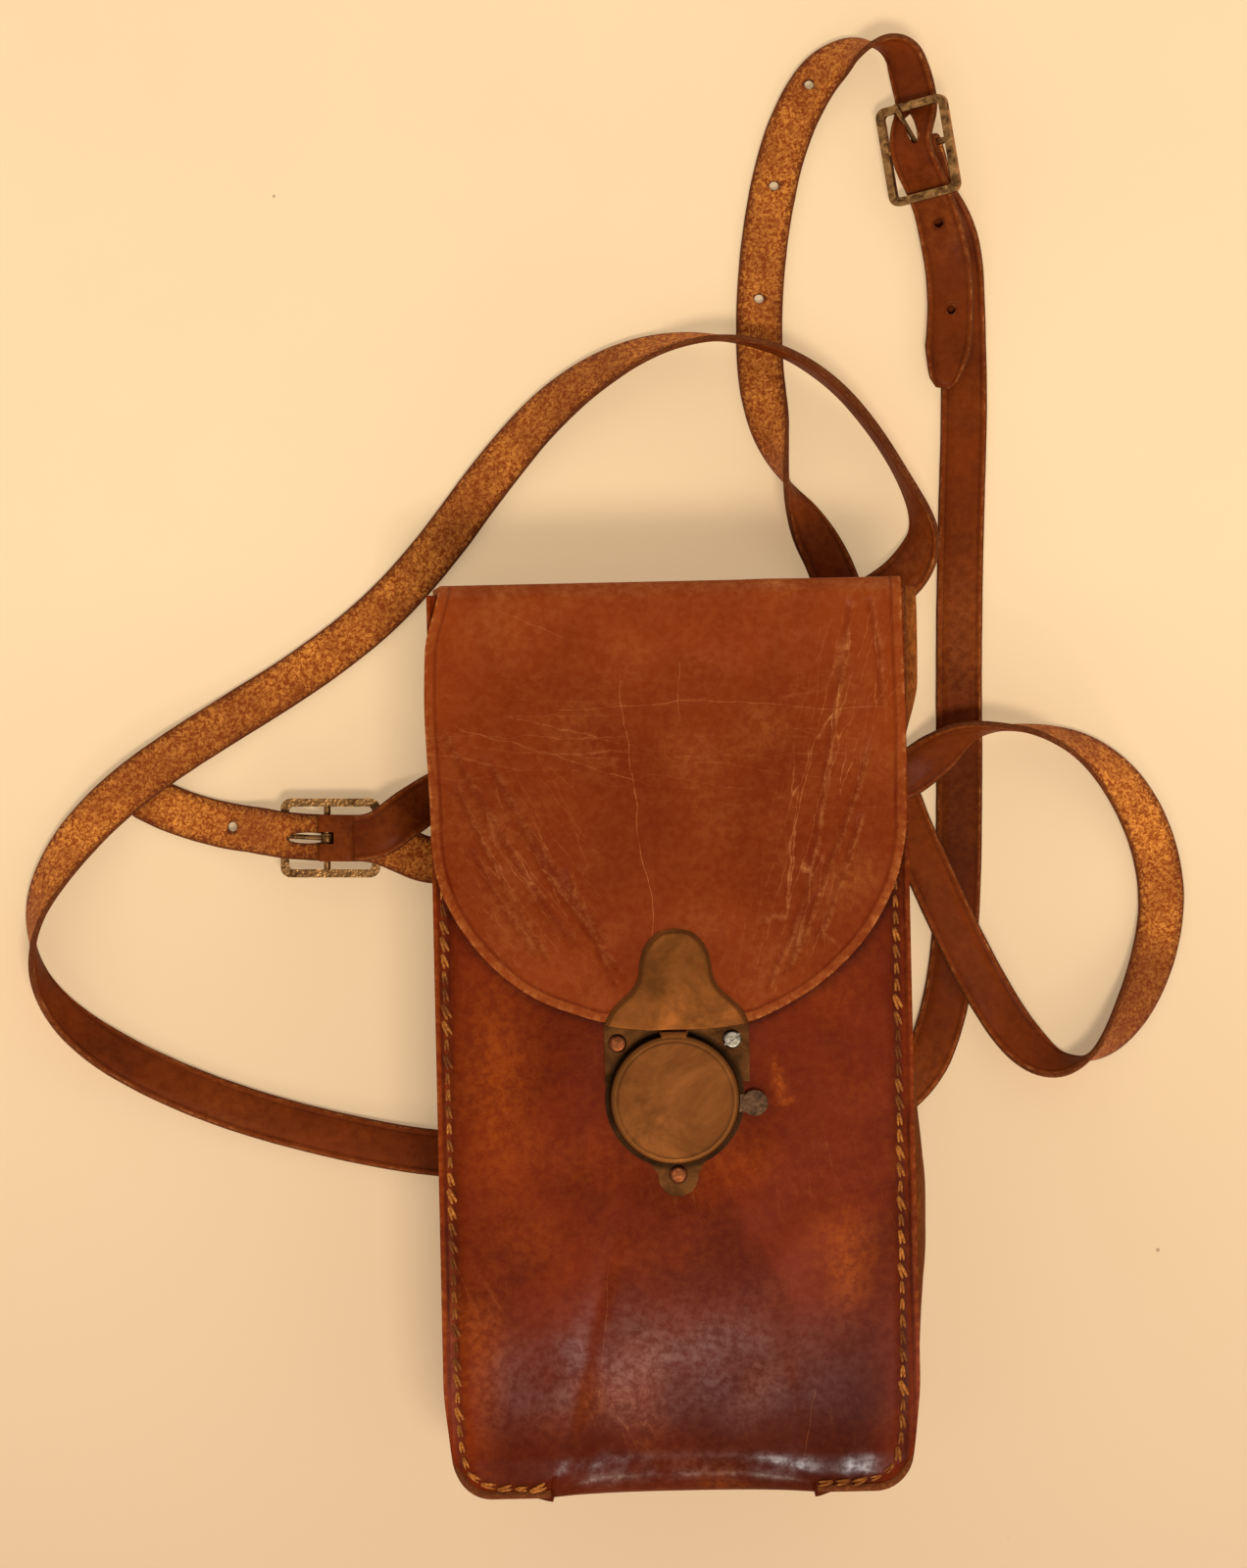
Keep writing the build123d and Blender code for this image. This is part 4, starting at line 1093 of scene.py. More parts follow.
# %% Where the body is worn, dark and glossy
rubbed_spots = [(-0.056, -0.090, 0.006, 0.018, 0.30), (0.047, -0.066, 0.006, 0.011, 0.42),
                (-0.050, -0.010, 0.009, 0.030, 0.35)]
hazes = [(-0.006, -0.091, 0.040, 0.014, 0.22), (-0.046, -0.100, 0.008, 0.012, 0.12)]
glints = [(-0.0230, 0.0080, 2.4), (0.0030, 0.0150, 0.7), (0.0270, 0.0075, 1.8), (0.0495, 0.0040, 1.3)]
glint_y = -0.1215


def tab_streak(x, y):
    """The rubbed streak beside the side tab of the catch, which widens as it goes down."""
    if not -0.019 < y < -0.0035:
        return 0.0
    middle = 0.0272 + 0.27 * (-0.0052 - y) + 0.0012 * rough(x, y, 0.004, 44.0)
    width = 0.0006 + 0.10 * max(0.0, -0.004 - y)
    return 0.9 * math.exp(-((x - middle) / width) ** 2) * (0.6 + 0.8 * rough(x, y, 0.003, 45.0))


def body_wear(x, y, z, along):
    """How far one point of the body is worn to the lighter brown."""
    value = 0.05 + tab_streak(x, y) + sum(strength * bell(x, y, *spot) for *spot, strength in rubbed_spots)
    value += 0.30 * max(0.0, rough(x, along, 0.022, 3.0))
    value += 0.25 * float(soft_step(0.004, 0.02, front_z - z)) * max(0.0, 0.5 + rough(x, along, 0.012, 33.0))
    return value + 0.2 * float(1.0 - soft_step(0.0, 0.0035, half_width - abs(x)))


def body_shade(x, y, z, along):
    """How dark one point of the body is: low down, towards the right, at the seams, and by a painted shadow
    round the tongue.
    """
    value = 0.75 * float(1.0 - soft_step(-0.125, -0.055, y))
    value *= float(soft_step(0.0, 0.02, half_width - abs(x)))
    value += 0.25 * float(soft_step(-0.01, 0.06, x)) + 0.20 * rough(x, along, 0.030, 6.0)
    value += 0.6 * math.exp(-((half_width - abs(x) - 0.0045) / 0.0014) ** 2)
    # Painted shadow along the edge of the flap's tongue.
    if z > 0.05 and y < 0.065:
        value += 0.9 * math.exp(-(from_line(tongue_line, x, y) / 0.0017) ** 2)
    return value


def body_gloss(x, y, z):
    """Haze on the lower front, and glints where it turns under."""
    haze = sum(strength * bell(x, y, *spot) for *spot, strength in hazes)
    glint = sum(strength * bell(x, y, middle, glint_y, reach, 0.0034) for middle, reach, strength in glints)
    glint *= (0.75 + 0.9 * rough(x, y, 0.004, 41.0)) if z > 0.045 else 0.0
    return haze * (0.75 + 0.7 * rough(x, y, 0.012, 40.0)) + glint


print("body marks ready")

# %% Finish the body
points = np.array([v.co for v in body_leather.data.vertices])
laid_flat = points[:, 1] - np.where(points[:, 1] < bottom_y + roll_radius, front_z - points[:, 2], 0.0)
add_masks(body_leather,
          wear=bounded([body_wear(*point, along) for point, along in zip(points, laid_flat)]),
          shade=bounded([body_shade(*point, along) for point, along in zip(points, laid_flat)]),
          gloss=[body_gloss(*point) for point in points],
          craze=bounded([0.9 * rough(x, y, 0.028, 21.0) - 0.15 for x, y, z in points]),
          edge_mm=(half_width - np.abs(points[:, 0])) * 1000.0)
thicken(body_leather, wrap_thickness, inner_slot=FLESH, rim_slot=EDGE)
print("body", len(body_leather.data.polygons), "faces")

# %% [markdown]
# ## The sides
# Each side, or gusset, is one long strip of softer leather sewn between the front and the back. It runs
# from the mouth, round the bottom corner, to the narrow bottom strip. On the right it swells out where the
# case is pressed, and at the mouth its end stands out and is rubbed. A flat wall would look like wood, so
# each point is pushed out by a swelling and by a little noise.

# %% Path of a gusset
gusset_half = 0.0664
gusset_thickness = 0.0020
gusset_levels = 24
bottom_inset = 0.0006


def gusset_path():
    """Points down one side, round the corner and along the bottom, with the outward direction of each."""
    path = []
    for k in range(150):
        path.append((gusset_half, top_y - (top_y - bottom_y - corner) * k / 150, 1.0, 0.0))
    radius = corner - bottom_inset
    for k in range(19):
        turn = math.radians(90.0 * k / 18)
        path.append((gusset_half - radius + radius * math.cos(turn),
                     bottom_y + corner - radius * math.sin(turn), math.cos(turn), -math.sin(turn)))
    for k in range(1, 12):
        path.append((gusset_half - corner + bottom_inset - (gusset_half - corner - strip_half) * k / 11,
                     bottom_y + bottom_inset, 0.0, -1.0))
    return path


print("gusset path", len(gusset_path()), "points")

# %% Build the gussets
def gusset_swelling(side, y, share):
    """How far a gusset swells out at Y, and how far its rubbed ear stands out at a share of its height."""
    if side > 0:
        ear = 0.0042 * float(soft_step(0.080, 0.100, y)) * math.exp(-((share - 0.82) / 0.16) ** 2)
        return 0.0012 + 0.0040 * math.exp(-((y + 0.050) / 0.036) ** 2), ear
    return 0.0006 + 0.0006 * math.exp(-((y - 0.02) / 0.05) ** 2), 0.0


def build_gusset(name, side):
    """One gusset as a swollen web between the front and the back."""
    low, high = back_z + wrap_thickness, front_z - wrap_thickness
    vertices, wear, shade = [], [], []
    path = gusset_path()
    for x, y, out_x, out_y in path:
        for level in range(gusset_levels + 1):
            share = level / gusset_levels
            height = low + (high - low) * share
            arch = math.sin(math.pi * share)
            swell, ear = gusset_swelling(side, y, share)
            if out_x <= 0.5:
                swell *= 0.4
            push = swell * arch ** 0.8 + ear + 0.0004 * rough(y, height, 0.016, side * 5.0)
            push += 0.0005 * arch * rough(y, height * 3.0, 0.030, 11.0)
            vertices.append((side * side_x(x + out_x * push, y), y + out_y * push, height))
            wear.append(0.20 + 0.5 * max(0.0, rough(y, height, 0.020, 2.0)) + 140.0 * ear)
            shade.append(0.35 + 0.5 * rough(y, height, 0.045, 8.0))
    faces = grid_faces(len(path), gusset_levels + 1, flip=side < 0)
    gusset = add_mesh(name, vertices, faces, (gusset_leather, flesh_side, cut_edge))
    add_masks(gusset, wear=bounded(wear), shade=bounded(shade), edge_mm=far_from_edge)
    thicken(gusset, gusset_thickness, inner_slot=FLESH, rim_slot=EDGE)
    return gusset


gusset_left = build_gusset("gusset_left", -1)
gusset_right = build_gusset("gusset_right", 1)
print("gussets", len(gusset_left.data.polygons), "and", len(gusset_right.data.polygons), "faces")

# %% [markdown]
# ## The flap
# The flap is one sheet too. It starts at the back of the mouth, goes up over the mouth and folds down on
# the front, where it ends in a round tongue. A square grid that is cut round would leave steps along the
# tongue. So a column of this grid starts at each point of the tongue and runs to the back, and its edge is
# smooth.

# %% Heights and edges of the flap
flap_z = 0.0659
flap_thickness = 0.0024
flap_fold_radius = 0.0050
flap_top_outer = 0.129
flap_foot_z = 0.0105
flap_back_half = 0.0665
hasp_middle = (0.0006, 0.0165)


def flap_edge(side, y):
    """How far a side of the flap is from the middle, at a distance from the tongue."""
    if side < 0:
        swollen = 0.0670 + 0.0011 * math.exp(-((y - 0.095) / 0.020) ** 2)
        return swollen - 0.0038 * float(soft_step(0.110, 0.130, y))
    return 0.0664 + 0.0002 * math.sin(y * 90.0)


print("flap", round(flap_edge(-1, 0.1) + flap_edge(1, 0.1), 4), "m wide")

# %% [markdown]
# The catch pulls on the tongue, so the flap has long wrinkles on both sides of the hasp. Each is a straight
# line with a start, an end, a width and a depth. It is bowed a little, it wanders, and it fades at its ends.
# Two more are read from the same lines: painted shade in the valleys, and a painted highlight on the crests
# beside them.

# %% Wrinkles of the flap
wrinkles = [
    ((-0.0640, 0.0900), (-0.0250, 0.0240), 0.0017, -0.00060),
    ((-0.0610, 0.0760), (-0.0330, 0.0200), 0.0014, -0.00055),
    ((-0.0520, 0.0820), (-0.0170, 0.0260), 0.0016, -0.00045),
    ((-0.0440, 0.0640), (-0.0120, 0.0160), 0.0013, -0.00050),
    ((-0.0560, 0.0560), (-0.0380, 0.0240), 0.0013, -0.00045),
    ((0.0520, 0.1230), (0.0470, 0.0940), 0.0015, -0.00040),
    ((0.0475, 0.0980), (0.0320, 0.0170), 0.0014, -0.00055),
    ((0.0575, 0.0850), (0.0290, 0.0130), 0.0014, -0.00055),
    ((0.0540, 0.0640), (0.0400, 0.0250), 0.0014, -0.00045),
    ((0.0420, 0.0520), (0.0250, 0.0120), 0.0013, -0.00045),
    ((0.0570, 0.1240), (0.0600, 0.0900), 0.0014, -0.00035),
    ((-0.0300, 0.0500), (-0.0150, 0.0130), 0.0012, -0.00040),
]


def ridge(x, y, start, end, width, strength):
    """Height of one wrinkle at a point."""
    dx, dy = end[0] - start[0], end[1] - start[1]
    size = math.hypot(dx, dy)
    along = ((x - start[0]) * dx + (y - start[1]) * dy) / size
    across = ((x - start[0]) * -dy + (y - start[1]) * dx) / size
    if abs(across) > 3.0 * width + 0.0025 or along < 0.0 or along > size:
        return 0.0
    share = along / size
    across += 0.0009 * noise.noise(Vector((along * 90.0, start[0] * 50.0, 0.0)))
    across += 0.10 * size * share * (1.0 - share) * (1.0 if start[0] < 0.0 else -0.6)
    fade = float(soft_step(0.0, 0.10, share) * (1.0 - soft_step(0.88, 1.0, share)))
    return strength * fade * math.exp(-(across / width) ** 2)


def wrinkle_marks(x, y):
    """Painted shade in the valleys at a point, and painted highlight on the crests beside them."""
    dark, crest_highlight = 0.0, 0.0
    for start, end, width, _ in wrinkles:
        shift = 0.0011 * (end[1] - start[1]) / math.hypot(end[0] - start[0], end[1] - start[1])
        dark += ridge(x, y, start, end, width * 0.75, 1.0)
        crest_highlight += ridge(x + shift, y, start, end, width * 0.38, 1.0)
    return dark, crest_highlight


def flap_height(x, y):
    """Height of the flap on the front: soft waves, and the wrinkles that the catch pulls."""
    quiet = 1.0 - bell(x, y, *hasp_middle, 0.017, 0.018)
    waves = 0.00030 * rough(x, y, 0.030, 4.0) + 0.00010 * rough(x, y, 0.010, 5.0)
    pillow = 0.0006 * (1.0 - (x / half_width) ** 2)
    sag = -0.0008 * bell(x, y, 0.0, 0.085, 0.040, 0.030)
    edge_droop = -0.0006 * float(1.0 - soft_step(0.0, 0.010, half_width - abs(x)))
    lines = sum(ridge(x, y, *wrinkle) for wrinkle in wrinkles)
    return flap_z - 0.0001 + quiet * (waves + pillow + sag + lines) + edge_droop


print("wrinkles", len(wrinkles))

# %% Points of the flap's skin
flap_front_rows = 120
flap_bend_rows = 10
flap_top_rows = 26
flap_rows = flap_front_rows + flap_bend_rows + flap_top_rows + 1
flap_bend_start = flap_top_outer - flap_fold_radius
halfway = (tongue_line[:-1] + tongue_line[1:]) / 2.0
flap_columns = np.empty((2 * len(tongue_line) - 1, 2))
flap_columns[0::2] = tongue_line
flap_columns[1::2] = halfway


def flap_point(row, x0, y0):
    """One point of the flap: a row of the column that starts at a point of the tongue."""
    side = -1 if x0 < 0 else 1
    column_edge = abs(flap_columns[0 if side < 0 else -1][0])
    if row <= flap_front_rows:
        y = y0 + (flap_bend_start - y0) * row / flap_front_rows
        x = x0 * (1.0 + (flap_edge(side, y) / column_edge - 1.0) * float(soft_step(0.057, 0.075, y)))
        return x, y, flap_height(x, y)
    if row <= flap_front_rows + flap_bend_rows:
        turn = math.pi / 2.0 * (row - flap_front_rows) / flap_bend_rows
        y = flap_bend_start + flap_fold_radius * math.sin(turn)
        x = x0 * (flap_edge(side, y) / column_edge)
        rise = (flap_height(x, flap_bend_start) - flap_z) * math.cos(turn)
        return x, y, flap_z + rise - flap_fold_radius + flap_fold_radius * math.cos(turn)
    share = (row - flap_front_rows - flap_bend_rows) / flap_top_rows
    z = flap_z - flap_fold_radius - (flap_z - flap_fold_radius - flap_foot_z) * share
    narrow = flap_edge(side, flap_top_outer)
    x = x0 / half_width * (narrow + (flap_back_half - narrow) * float(soft_step(0.0, 0.5, share)))
    bulge = 0.0008 * math.sin(math.pi * share) * (1.0 - (x / half_width) ** 2)
    return x, flap_top_outer + bulge + 0.0002 * rough(x, z, 0.02, 3.0), z


flap_points = np.array([flap_point(row, x0, y0) for row in range(flap_rows) for x0, y0 in flap_columns])
print("flap grid", flap_rows, "rows of", len(flap_columns), "points")

# %% [markdown]
# The flap has its own masks. It is rubbed along its edge, lighter along its front fold, partly by wear and
# partly as a painted highlight, darker towards the catch, and cracked in two fans beside the hasp. Its
# wrinkles get painted shade in their valleys and a painted highlight on their crests. Over the fold, noise is
# read at the place that a point would have if the leather were laid flat.

# %% Where the flap is worn, dark and cracked
def flap_gaps():
    """Distance of each point of the flap from its edge."""
    side_places = np.linspace(0.06, 0.13, 60)
    rim = np.vstack([tongue_line, [(-flap_edge(-1, y), y) for y in side_places],
                     [(flap_edge(1, y), y) for y in side_places]])
    return np.array([flap_back_half - abs(x) if z < flap_z - 0.008 else from_line(rim, x, y)
                     for x, y, z in flap_points])


def flap_marks(x, y, z, gap):
    """Wear, cracks and dye at one point of the flap, with painted shade in the wrinkles' valleys and painted
    highlights on their crests and along the fold.
    """
    flat_y = y + max(0.0, flap_z - flap_fold_radius - z)
    valley_shade, crest_highlight = wrinkle_marks(x, y)
    rim = float(1.0 - soft_step(0.0006, 0.0036, gap)) * (0.45 if y < 0.07 else 0.20)
    wear = 0.12 + rim * (0.50 + 1.1 * rough(x, y, 0.006, 14.0))
    wear += 0.4 * max(0.0, rough(x, flat_y, 0.018, 12.0))
    # Lighter along the top of the front fold: partly wear, and partly a painted highlight on the fold.
    wear += 0.5 * math.exp(-((flat_y - 0.1275) / 0.0030) ** 2) * max(0.0, 0.5 + rough(x, 0.0, 0.010, 2.0))
    frayed = 0.45 * math.exp(-(gap / 0.0012) ** 2) * max(0.0, rough(x, y, 0.0025, 23.0)) if y < 0.07 else 0.0
    scuff = 0.9 * bell(x, flat_y, 0.031, 0.1285, 0.0035, 0.0012) * (0.5 + rough(x, y, 0.002, 24.0))
    # Painted highlight on the wrinkles' crests, which goes into the crack mask.
    crest_highlight *= 0.30 * (0.6 + 0.9 * rough(x, y, 0.005, 19.0)) * (1.0 if x > 0 else 0.6)
    shade = 0.40 * float(1.0 - soft_step(0.080, 0.122, y)) + 0.30 * rough(x, flat_y, 0.035, 15.0)
    # Painted shade in the wrinkles' valleys.
    shade += 0.35 * float(soft_step(0.150, 0.178, flat_y)) + 0.38 * min(1.0, valley_shade)
    shade += 0.30 * bell(x, y, 0.0, 0.0235, 0.030, 0.010)
    return wear, crest_highlight + frayed + scuff, shade


def flap_fans(x, y):
    """How cracked one point of the flap is: left of the hasp, right of it, and across the middle."""
    left = bell(x, y, -0.040, 0.048, 0.017, 0.027) * (0.75 + 0.7 * rough(x, y, 0.012, 31.0))
    slanted = 0.031 + 0.24 * (y - 0.016)
    right = math.exp(-((x - slanted) / 0.011) ** 2) * float(soft_step(0.006, 0.03, y))
    right *= float(soft_step(0.002, 0.02, 0.13 - y))
    right *= 0.65 + 0.9 * rough(x, y, 0.010, 32.0)
    across = math.exp(-((y - 0.083) / 0.014) ** 2) * (0.4 + 0.8 * rough(x, y, 0.025, 30.0))
    return left, right, across


gaps = flap_gaps()
marks = np.array([flap_marks(*point, gap) for point, gap in zip(flap_points, gaps)])
fans = np.maximum([flap_fans(x, y) for x, y, z in flap_points], 0.0)
print("flap marks", marks.mean(axis=0).round(2))

# %% Build the flap
flap_piece = add_mesh("flap_leather", flap_points, grid_faces(flap_rows, len(flap_columns)),
                      (flap_leather, flesh_side, frayed_edge))
fold_gloss = 0.06 * np.exp(-((flap_points[:, 1] - 0.112) / 0.012) ** 2)
fold_gloss += 0.14 * soft_step(0.119, 0.127, flap_points[:, 1])
add_masks(flap_piece, wear=np.minimum(marks[:, 0], 1.0), crack=bounded(marks[:, 1]),
          shade=bounded(marks[:, 2]), edge_mm=gaps * 1000.0, gloss=fold_gloss, fan_left=fans[:, 0],
          fan_right=fans[:, 1], craze=fans[:, 2])
thicken(flap_piece, flap_thickness, inner_slot=FLESH, rim_slot=EDGE)
print("flap", len(flap_piece.data.polygons), "faces")

# %% [markdown]
# At the back of the mouth a strip of the same leather carries the flap. It crosses the hinge. Made in one
# piece with the flap it would cross two hinges, and a piece can bend over only one. So it is its own piece.

# %% Build the back fold
back_fold_radius = 0.0044


def build_back_fold():
    """The strip of leather that joins the back of the case to the flap."""
    radius = back_fold_radius
    path = [(back_top_y - 0.0005 + 0.0018 * k, back_z) for k in range(5)]
    path = [(y, z) for y, z in path if y < flap_top_outer - radius]
    for k in range(13):
        turn = math.radians(90.0 * k / 12)
        path.append((flap_top_outer - radius + radius * math.sin(turn),
                     back_z + radius - radius * math.cos(turn)))
    path.append((flap_top_outer, flap_foot_z + 0.0012))
    columns = [-flap_back_half + flap_back_half * 2 * k / 60 for k in range(61)]
    vertices = np.array([(x, y, z) for y, z in path for x in columns])
    faces = grid_faces(len(path), len(columns), flip=True)
    fold = add_mesh("back_fold", vertices, faces, (flap_leather, flesh_side, cut_edge))
    add_masks(fold, wear=0.35, shade=0.3, edge_mm=(flap_back_half - np.abs(vertices[:, 0])) * 1000.0)
    thicken(fold, flap_thickness, inner_slot=FLESH, rim_slot=EDGE)
    return fold


back_fold = build_back_fold()
print("back fold", len(back_fold.data.polygons), "faces")

# %% [markdown]
# ## Keepers
# Four loops of leather are sewn on the back. The straps run through them, and the case rests on them. Each
# is a short ribbon: flat feet at both ends, and a low arch between. All four are cut alike, so one function
# makes them, and only their places differ.

# %% Build the keepers
keeper_places = {"back_keeper_lower_right": (0.038, -0.0328), "back_keeper_lower_left": (-0.038, -0.038),
                 "back_keeper_upper_right": (0.038, 0.0626), "back_keeper_upper_left": (-0.042, 0.0528)}
keeper_half_width = 0.006
keeper_half_length = 0.018
keeper_foot = 0.0145
keeper_thickness = 0.0016
keeper_top_z = back_z - keeper_thickness


def build_keeper(name, x, y):
    """One loop: its path along Y, swept across its width."""
    path = [(-keeper_half_length, keeper_top_z), (-keeper_foot, keeper_top_z)]
    for k in range(9):
        share = k / 8
        down = 1.0 - float(soft_step(0.0, 1.0, share))
        path.append((-0.0122 + 0.0028 * share, keeper_top_z * down + 0.0001))
    path += [(-y0, z) for y0, z in reversed(path)]
    shares = (-1.0, -0.93, -0.5, 0.0, 0.5, 0.93, 1.0)
    vertices = []
    for along, z in path:
        for share in shares:
            lift = 0.0003 if abs(share) == 1.0 else 0.0
            vertices.append((x + share * keeper_half_width, y + along, z + lift))
    faces = grid_faces(len(path), len(shares), flip=True)
    keeper = add_mesh(name.replace("back_", ""), vertices, faces, (strap_grain, flesh_side, cut_edge))
    add_masks(keeper, wear=0.3, shade=0.2, edge_mm=far_from_edge)
    thicken(keeper, keeper_thickness, inner_slot=FLESH, rim_slot=EDGE)
    return keeper


keepers = {node: build_keeper(node, *place) for node, place in keeper_places.items()}
print("keepers", len(keepers))

# %% [markdown]
# ## Stitches
# The seams are sewn by hand in waxed thread, and each long slanted stitch shows two strands. Geometry Nodes
# repeat one stitch along a line: the line is divided at the pitch of the seam, one stitch is placed on each
# point and turned along it, and its slant and size vary a little with a fixed seed. Placing them by a loop
# would work too, but in the tree the pitch and the sizes are plain inputs that can be tried out by hand.

# %% Thread
def make_thread():
    """Golden waxed thread, with fibres and darker stretches."""
    material, tree, shader = start_material("seam_thread")
    place = object_place(tree)
    fibres = cloudy(tree, place, 1500.0, 3.0, 0.7)
    patches = cloudy(tree, place, 90.0, 3.0)
    look = blend_colours(tree, spread(tree, fibres, 0.35, 0.65), colour(120, 58, 18), colour(196, 122, 50))
    look = blend_colours(tree, spread(tree, patches, 0.42, 0.60, 0.0, 0.85), look, colour(84, 34, 10))
    tree.links.new(look, shader.inputs["Base Color"])
    shader.inputs["Roughness"].default_value = 0.8
    shader.inputs["Specular IOR Level"].default_value = 0.1
    set_relief(tree, shader, fibres, 0.6, 0.0002)
    return material


seam_thread = make_thread()
print("thread", seam_thread.name)

# %% One stitch
def stitch_mesh():
    """One stitch along X: two worn strands that start together and drift apart, and dip at both ends."""
    rings, around = 7, 6
    vertices, faces = [], []
    for near, far, thick in ((0.10, 0.34, 0.27), (-0.12, -0.30, 0.24)):
        first = len(vertices)
        for r in range(rings):
            share = -1.0 + 2.0 * r / (rings - 1)
            fat = thick * math.sqrt(max(0.0, 1.0 - 0.80 * share * share))
            middle = near + (far - near) * (share + 1.0) / 2.0
            for a in range(around):
                turn = 2.0 * math.pi * a / around
                vertices.append((share * 0.5, middle + math.cos(turn) * fat,
                                 math.sin(turn) * 1.6 * fat - 0.45 * abs(share) ** 3))
        for r in range(rings - 1):
            for a in range(around):
                b = (a + 1) % around
                here, following = first + r * around, first + (r + 1) * around
                faces.append((here + a, here + b, following + b, following + a))
        faces.append(tuple(reversed(range(first, first + around))))
        faces.append(tuple(first + (rings - 1) * around + a for a in range(around)))
    stitch = add_mesh("one_stitch", vertices, faces, (seam_thread,))
    point_outward(stitch)
    return stitch


one_stitch = stitch_mesh()
print("stitch", len(one_stitch.data.polygons), "faces")

# %% Geometry Nodes: sew along a line
stitch_wobble = (-0.26, 0.22)
stitch_sizes = (0.72, 1.10)


def build_sewing():
    """A tree that lays stitches along a curve."""
    tree = bpy.data.node_groups.new("sewing", "GeometryNodeTree")
    for label, kind, value in (
            ("Line", "Geometry", None), ("Pitch", "Float", 0.0047), ("Length", "Float", 0.0046),
            ("Width", "Float", 0.0019), ("Height", "Float", 0.0014), ("Slant", "Float", 0.20),
            ("Seed", "Int", 3), ("Stitch", "Object", None), ("Thread", "Material", None)):
        socket = tree.interface.new_socket(label, in_out="INPUT", socket_type="NodeSocket" + kind)
        if value is not None:
            socket.default_value = value
    tree.interface.new_socket("Stitches", in_out="OUTPUT", socket_type="NodeSocketGeometry")
    given = tree.nodes.new("NodeGroupInput").outputs
    points = make_node(tree, "GeometryNodeCurveToPoints", {"Curve": given["Line"], "Length": given["Pitch"]},
                       mode="LENGTH")
    info = make_node(tree, "GeometryNodeObjectInfo", {"Object": given["Stitch"]})
    turn = make_node(tree, "FunctionNodeAlignRotationToVector", {"Vector": points.outputs["Tangent"]},
                     axis="X", pivot_axis="Z")
    wobble = make_node(tree, "FunctionNodeRandomValue", {
        2: stitch_wobble[0], 3: stitch_wobble[1], "Seed": given["Seed"]}, data_type="FLOAT")
    angle = make_node(tree, "ShaderNodeMath", {0: given["Slant"], 1: wobble.outputs[1]}, operation="ADD")
    slanted = make_node(tree, "ShaderNodeCombineXYZ", {"Z": angle.outputs[0]})
    both = make_node(tree, "FunctionNodeRotateRotation", {
        "Rotation": turn.outputs["Rotation"], "Rotate By": slanted.outputs[0]}, rotation_space="LOCAL")
    varied = make_node(tree, "FunctionNodeRandomValue", {
        2: stitch_sizes[0], 3: stitch_sizes[1], "Seed": given["Seed"]}, data_type="FLOAT")
    size = make_node(tree, "ShaderNodeCombineXYZ", {
        "X": given["Length"], "Y": given["Width"], "Z": given["Height"]})
    scaled = make_node(tree, "ShaderNodeVectorMath", {0: size.outputs[0], "Scale": varied.outputs[1]},
                       operation="SCALE")
    place = make_node(tree, "GeometryNodeInstanceOnPoints", {
        "Points": points.outputs["Points"], "Instance": info.outputs["Geometry"],
        "Rotation": both.outputs["Rotation"], "Scale": scaled.outputs[0]})
    real = make_node(tree, "GeometryNodeRealizeInstances", {"Geometry": place.outputs["Instances"]})
    coloured = make_node(tree, "GeometryNodeSetMaterial", {
        "Geometry": real.outputs["Geometry"], "Material": given["Thread"]})
    tree.links.new(coloured.outputs["Geometry"], tree.nodes.new("NodeGroupOutput").inputs["Stitches"])
    return tree


sewing = build_sewing()
print("tree", sewing.name, len(sewing.nodes), "nodes")

# %% Lay stitches along lines
def sew(name, lines, **sizes):
    """Stitches along one or more lines, as one plain mesh."""
    curve = bpy.data.curves.new(name + "_lines", "CURVE")
    curve.dimensions = "3D"
    for line in lines:
        spline = curve.splines.new("POLY")
        spline.points.add(len(line) - 1)
        for point, spot in zip(spline.points, line):
            point.co = (*spot, 1.0)
    holder = bpy.data.objects.new(name + "_lines", curve)
    bpy.context.scene.collection.objects.link(holder)
    modifier = holder.modifiers.new("sewing", "NODES")
    modifier.node_group = sewing
    sockets = {item.name: item.identifier for item in sewing.interface.items_tree if item.in_out == "INPUT"}
    modifier[sockets["Stitch"]] = one_stitch
    modifier[sockets["Thread"]] = seam_thread
    for label, value in sizes.items():
        modifier[sockets[label]] = value
    bpy.context.view_layer.update()
    mesh = bpy.data.meshes.new_from_object(holder.evaluated_get(bpy.context.evaluated_depsgraph_get()))
    bpy.data.objects.remove(holder)
    mesh.polygons.foreach_set("use_smooth", [True] * len(mesh.polygons))
    seam = bpy.data.objects.new(name, mesh)
    bpy.context.scene.collection.objects.link(seam)
    point_outward(seam)
    print(name, len(mesh.polygons), "faces")
    return seam


print("seams can be sewn")

# %% Sew the seams
stitch_lift = 0.0003
keeper_seam_inset = 0.0022
keeper_seam_half = 0.0054


def seam_line(side, back):
    """Line of a side seam, from under the flap round the corner to the bottom strip."""
    knots = [(0.0628, 0.1180), (0.0628, 0.0700), (0.0628, 0.0200), (0.0626, -0.0400), (0.0622, -0.0900),
             (0.0618, -0.1120), (0.0595, -0.1215), (0.0530, -0.1252), (0.0470, -0.1256), (0.0400, -0.1257)]
    if side < 0:
        knots = [(x + 0.0014 * (1 if y > 0 else 0.8), y) for x, y in knots]
    flat = read_line("seam", [(side * x, y, 0.0) for x, y in knots])
    if back:
        return [(x, y, back_z - stitch_lift) for x, y, z in flat]
    return [(x, y, front_height(x, y) + stitch_lift) for x, y, z in flat]


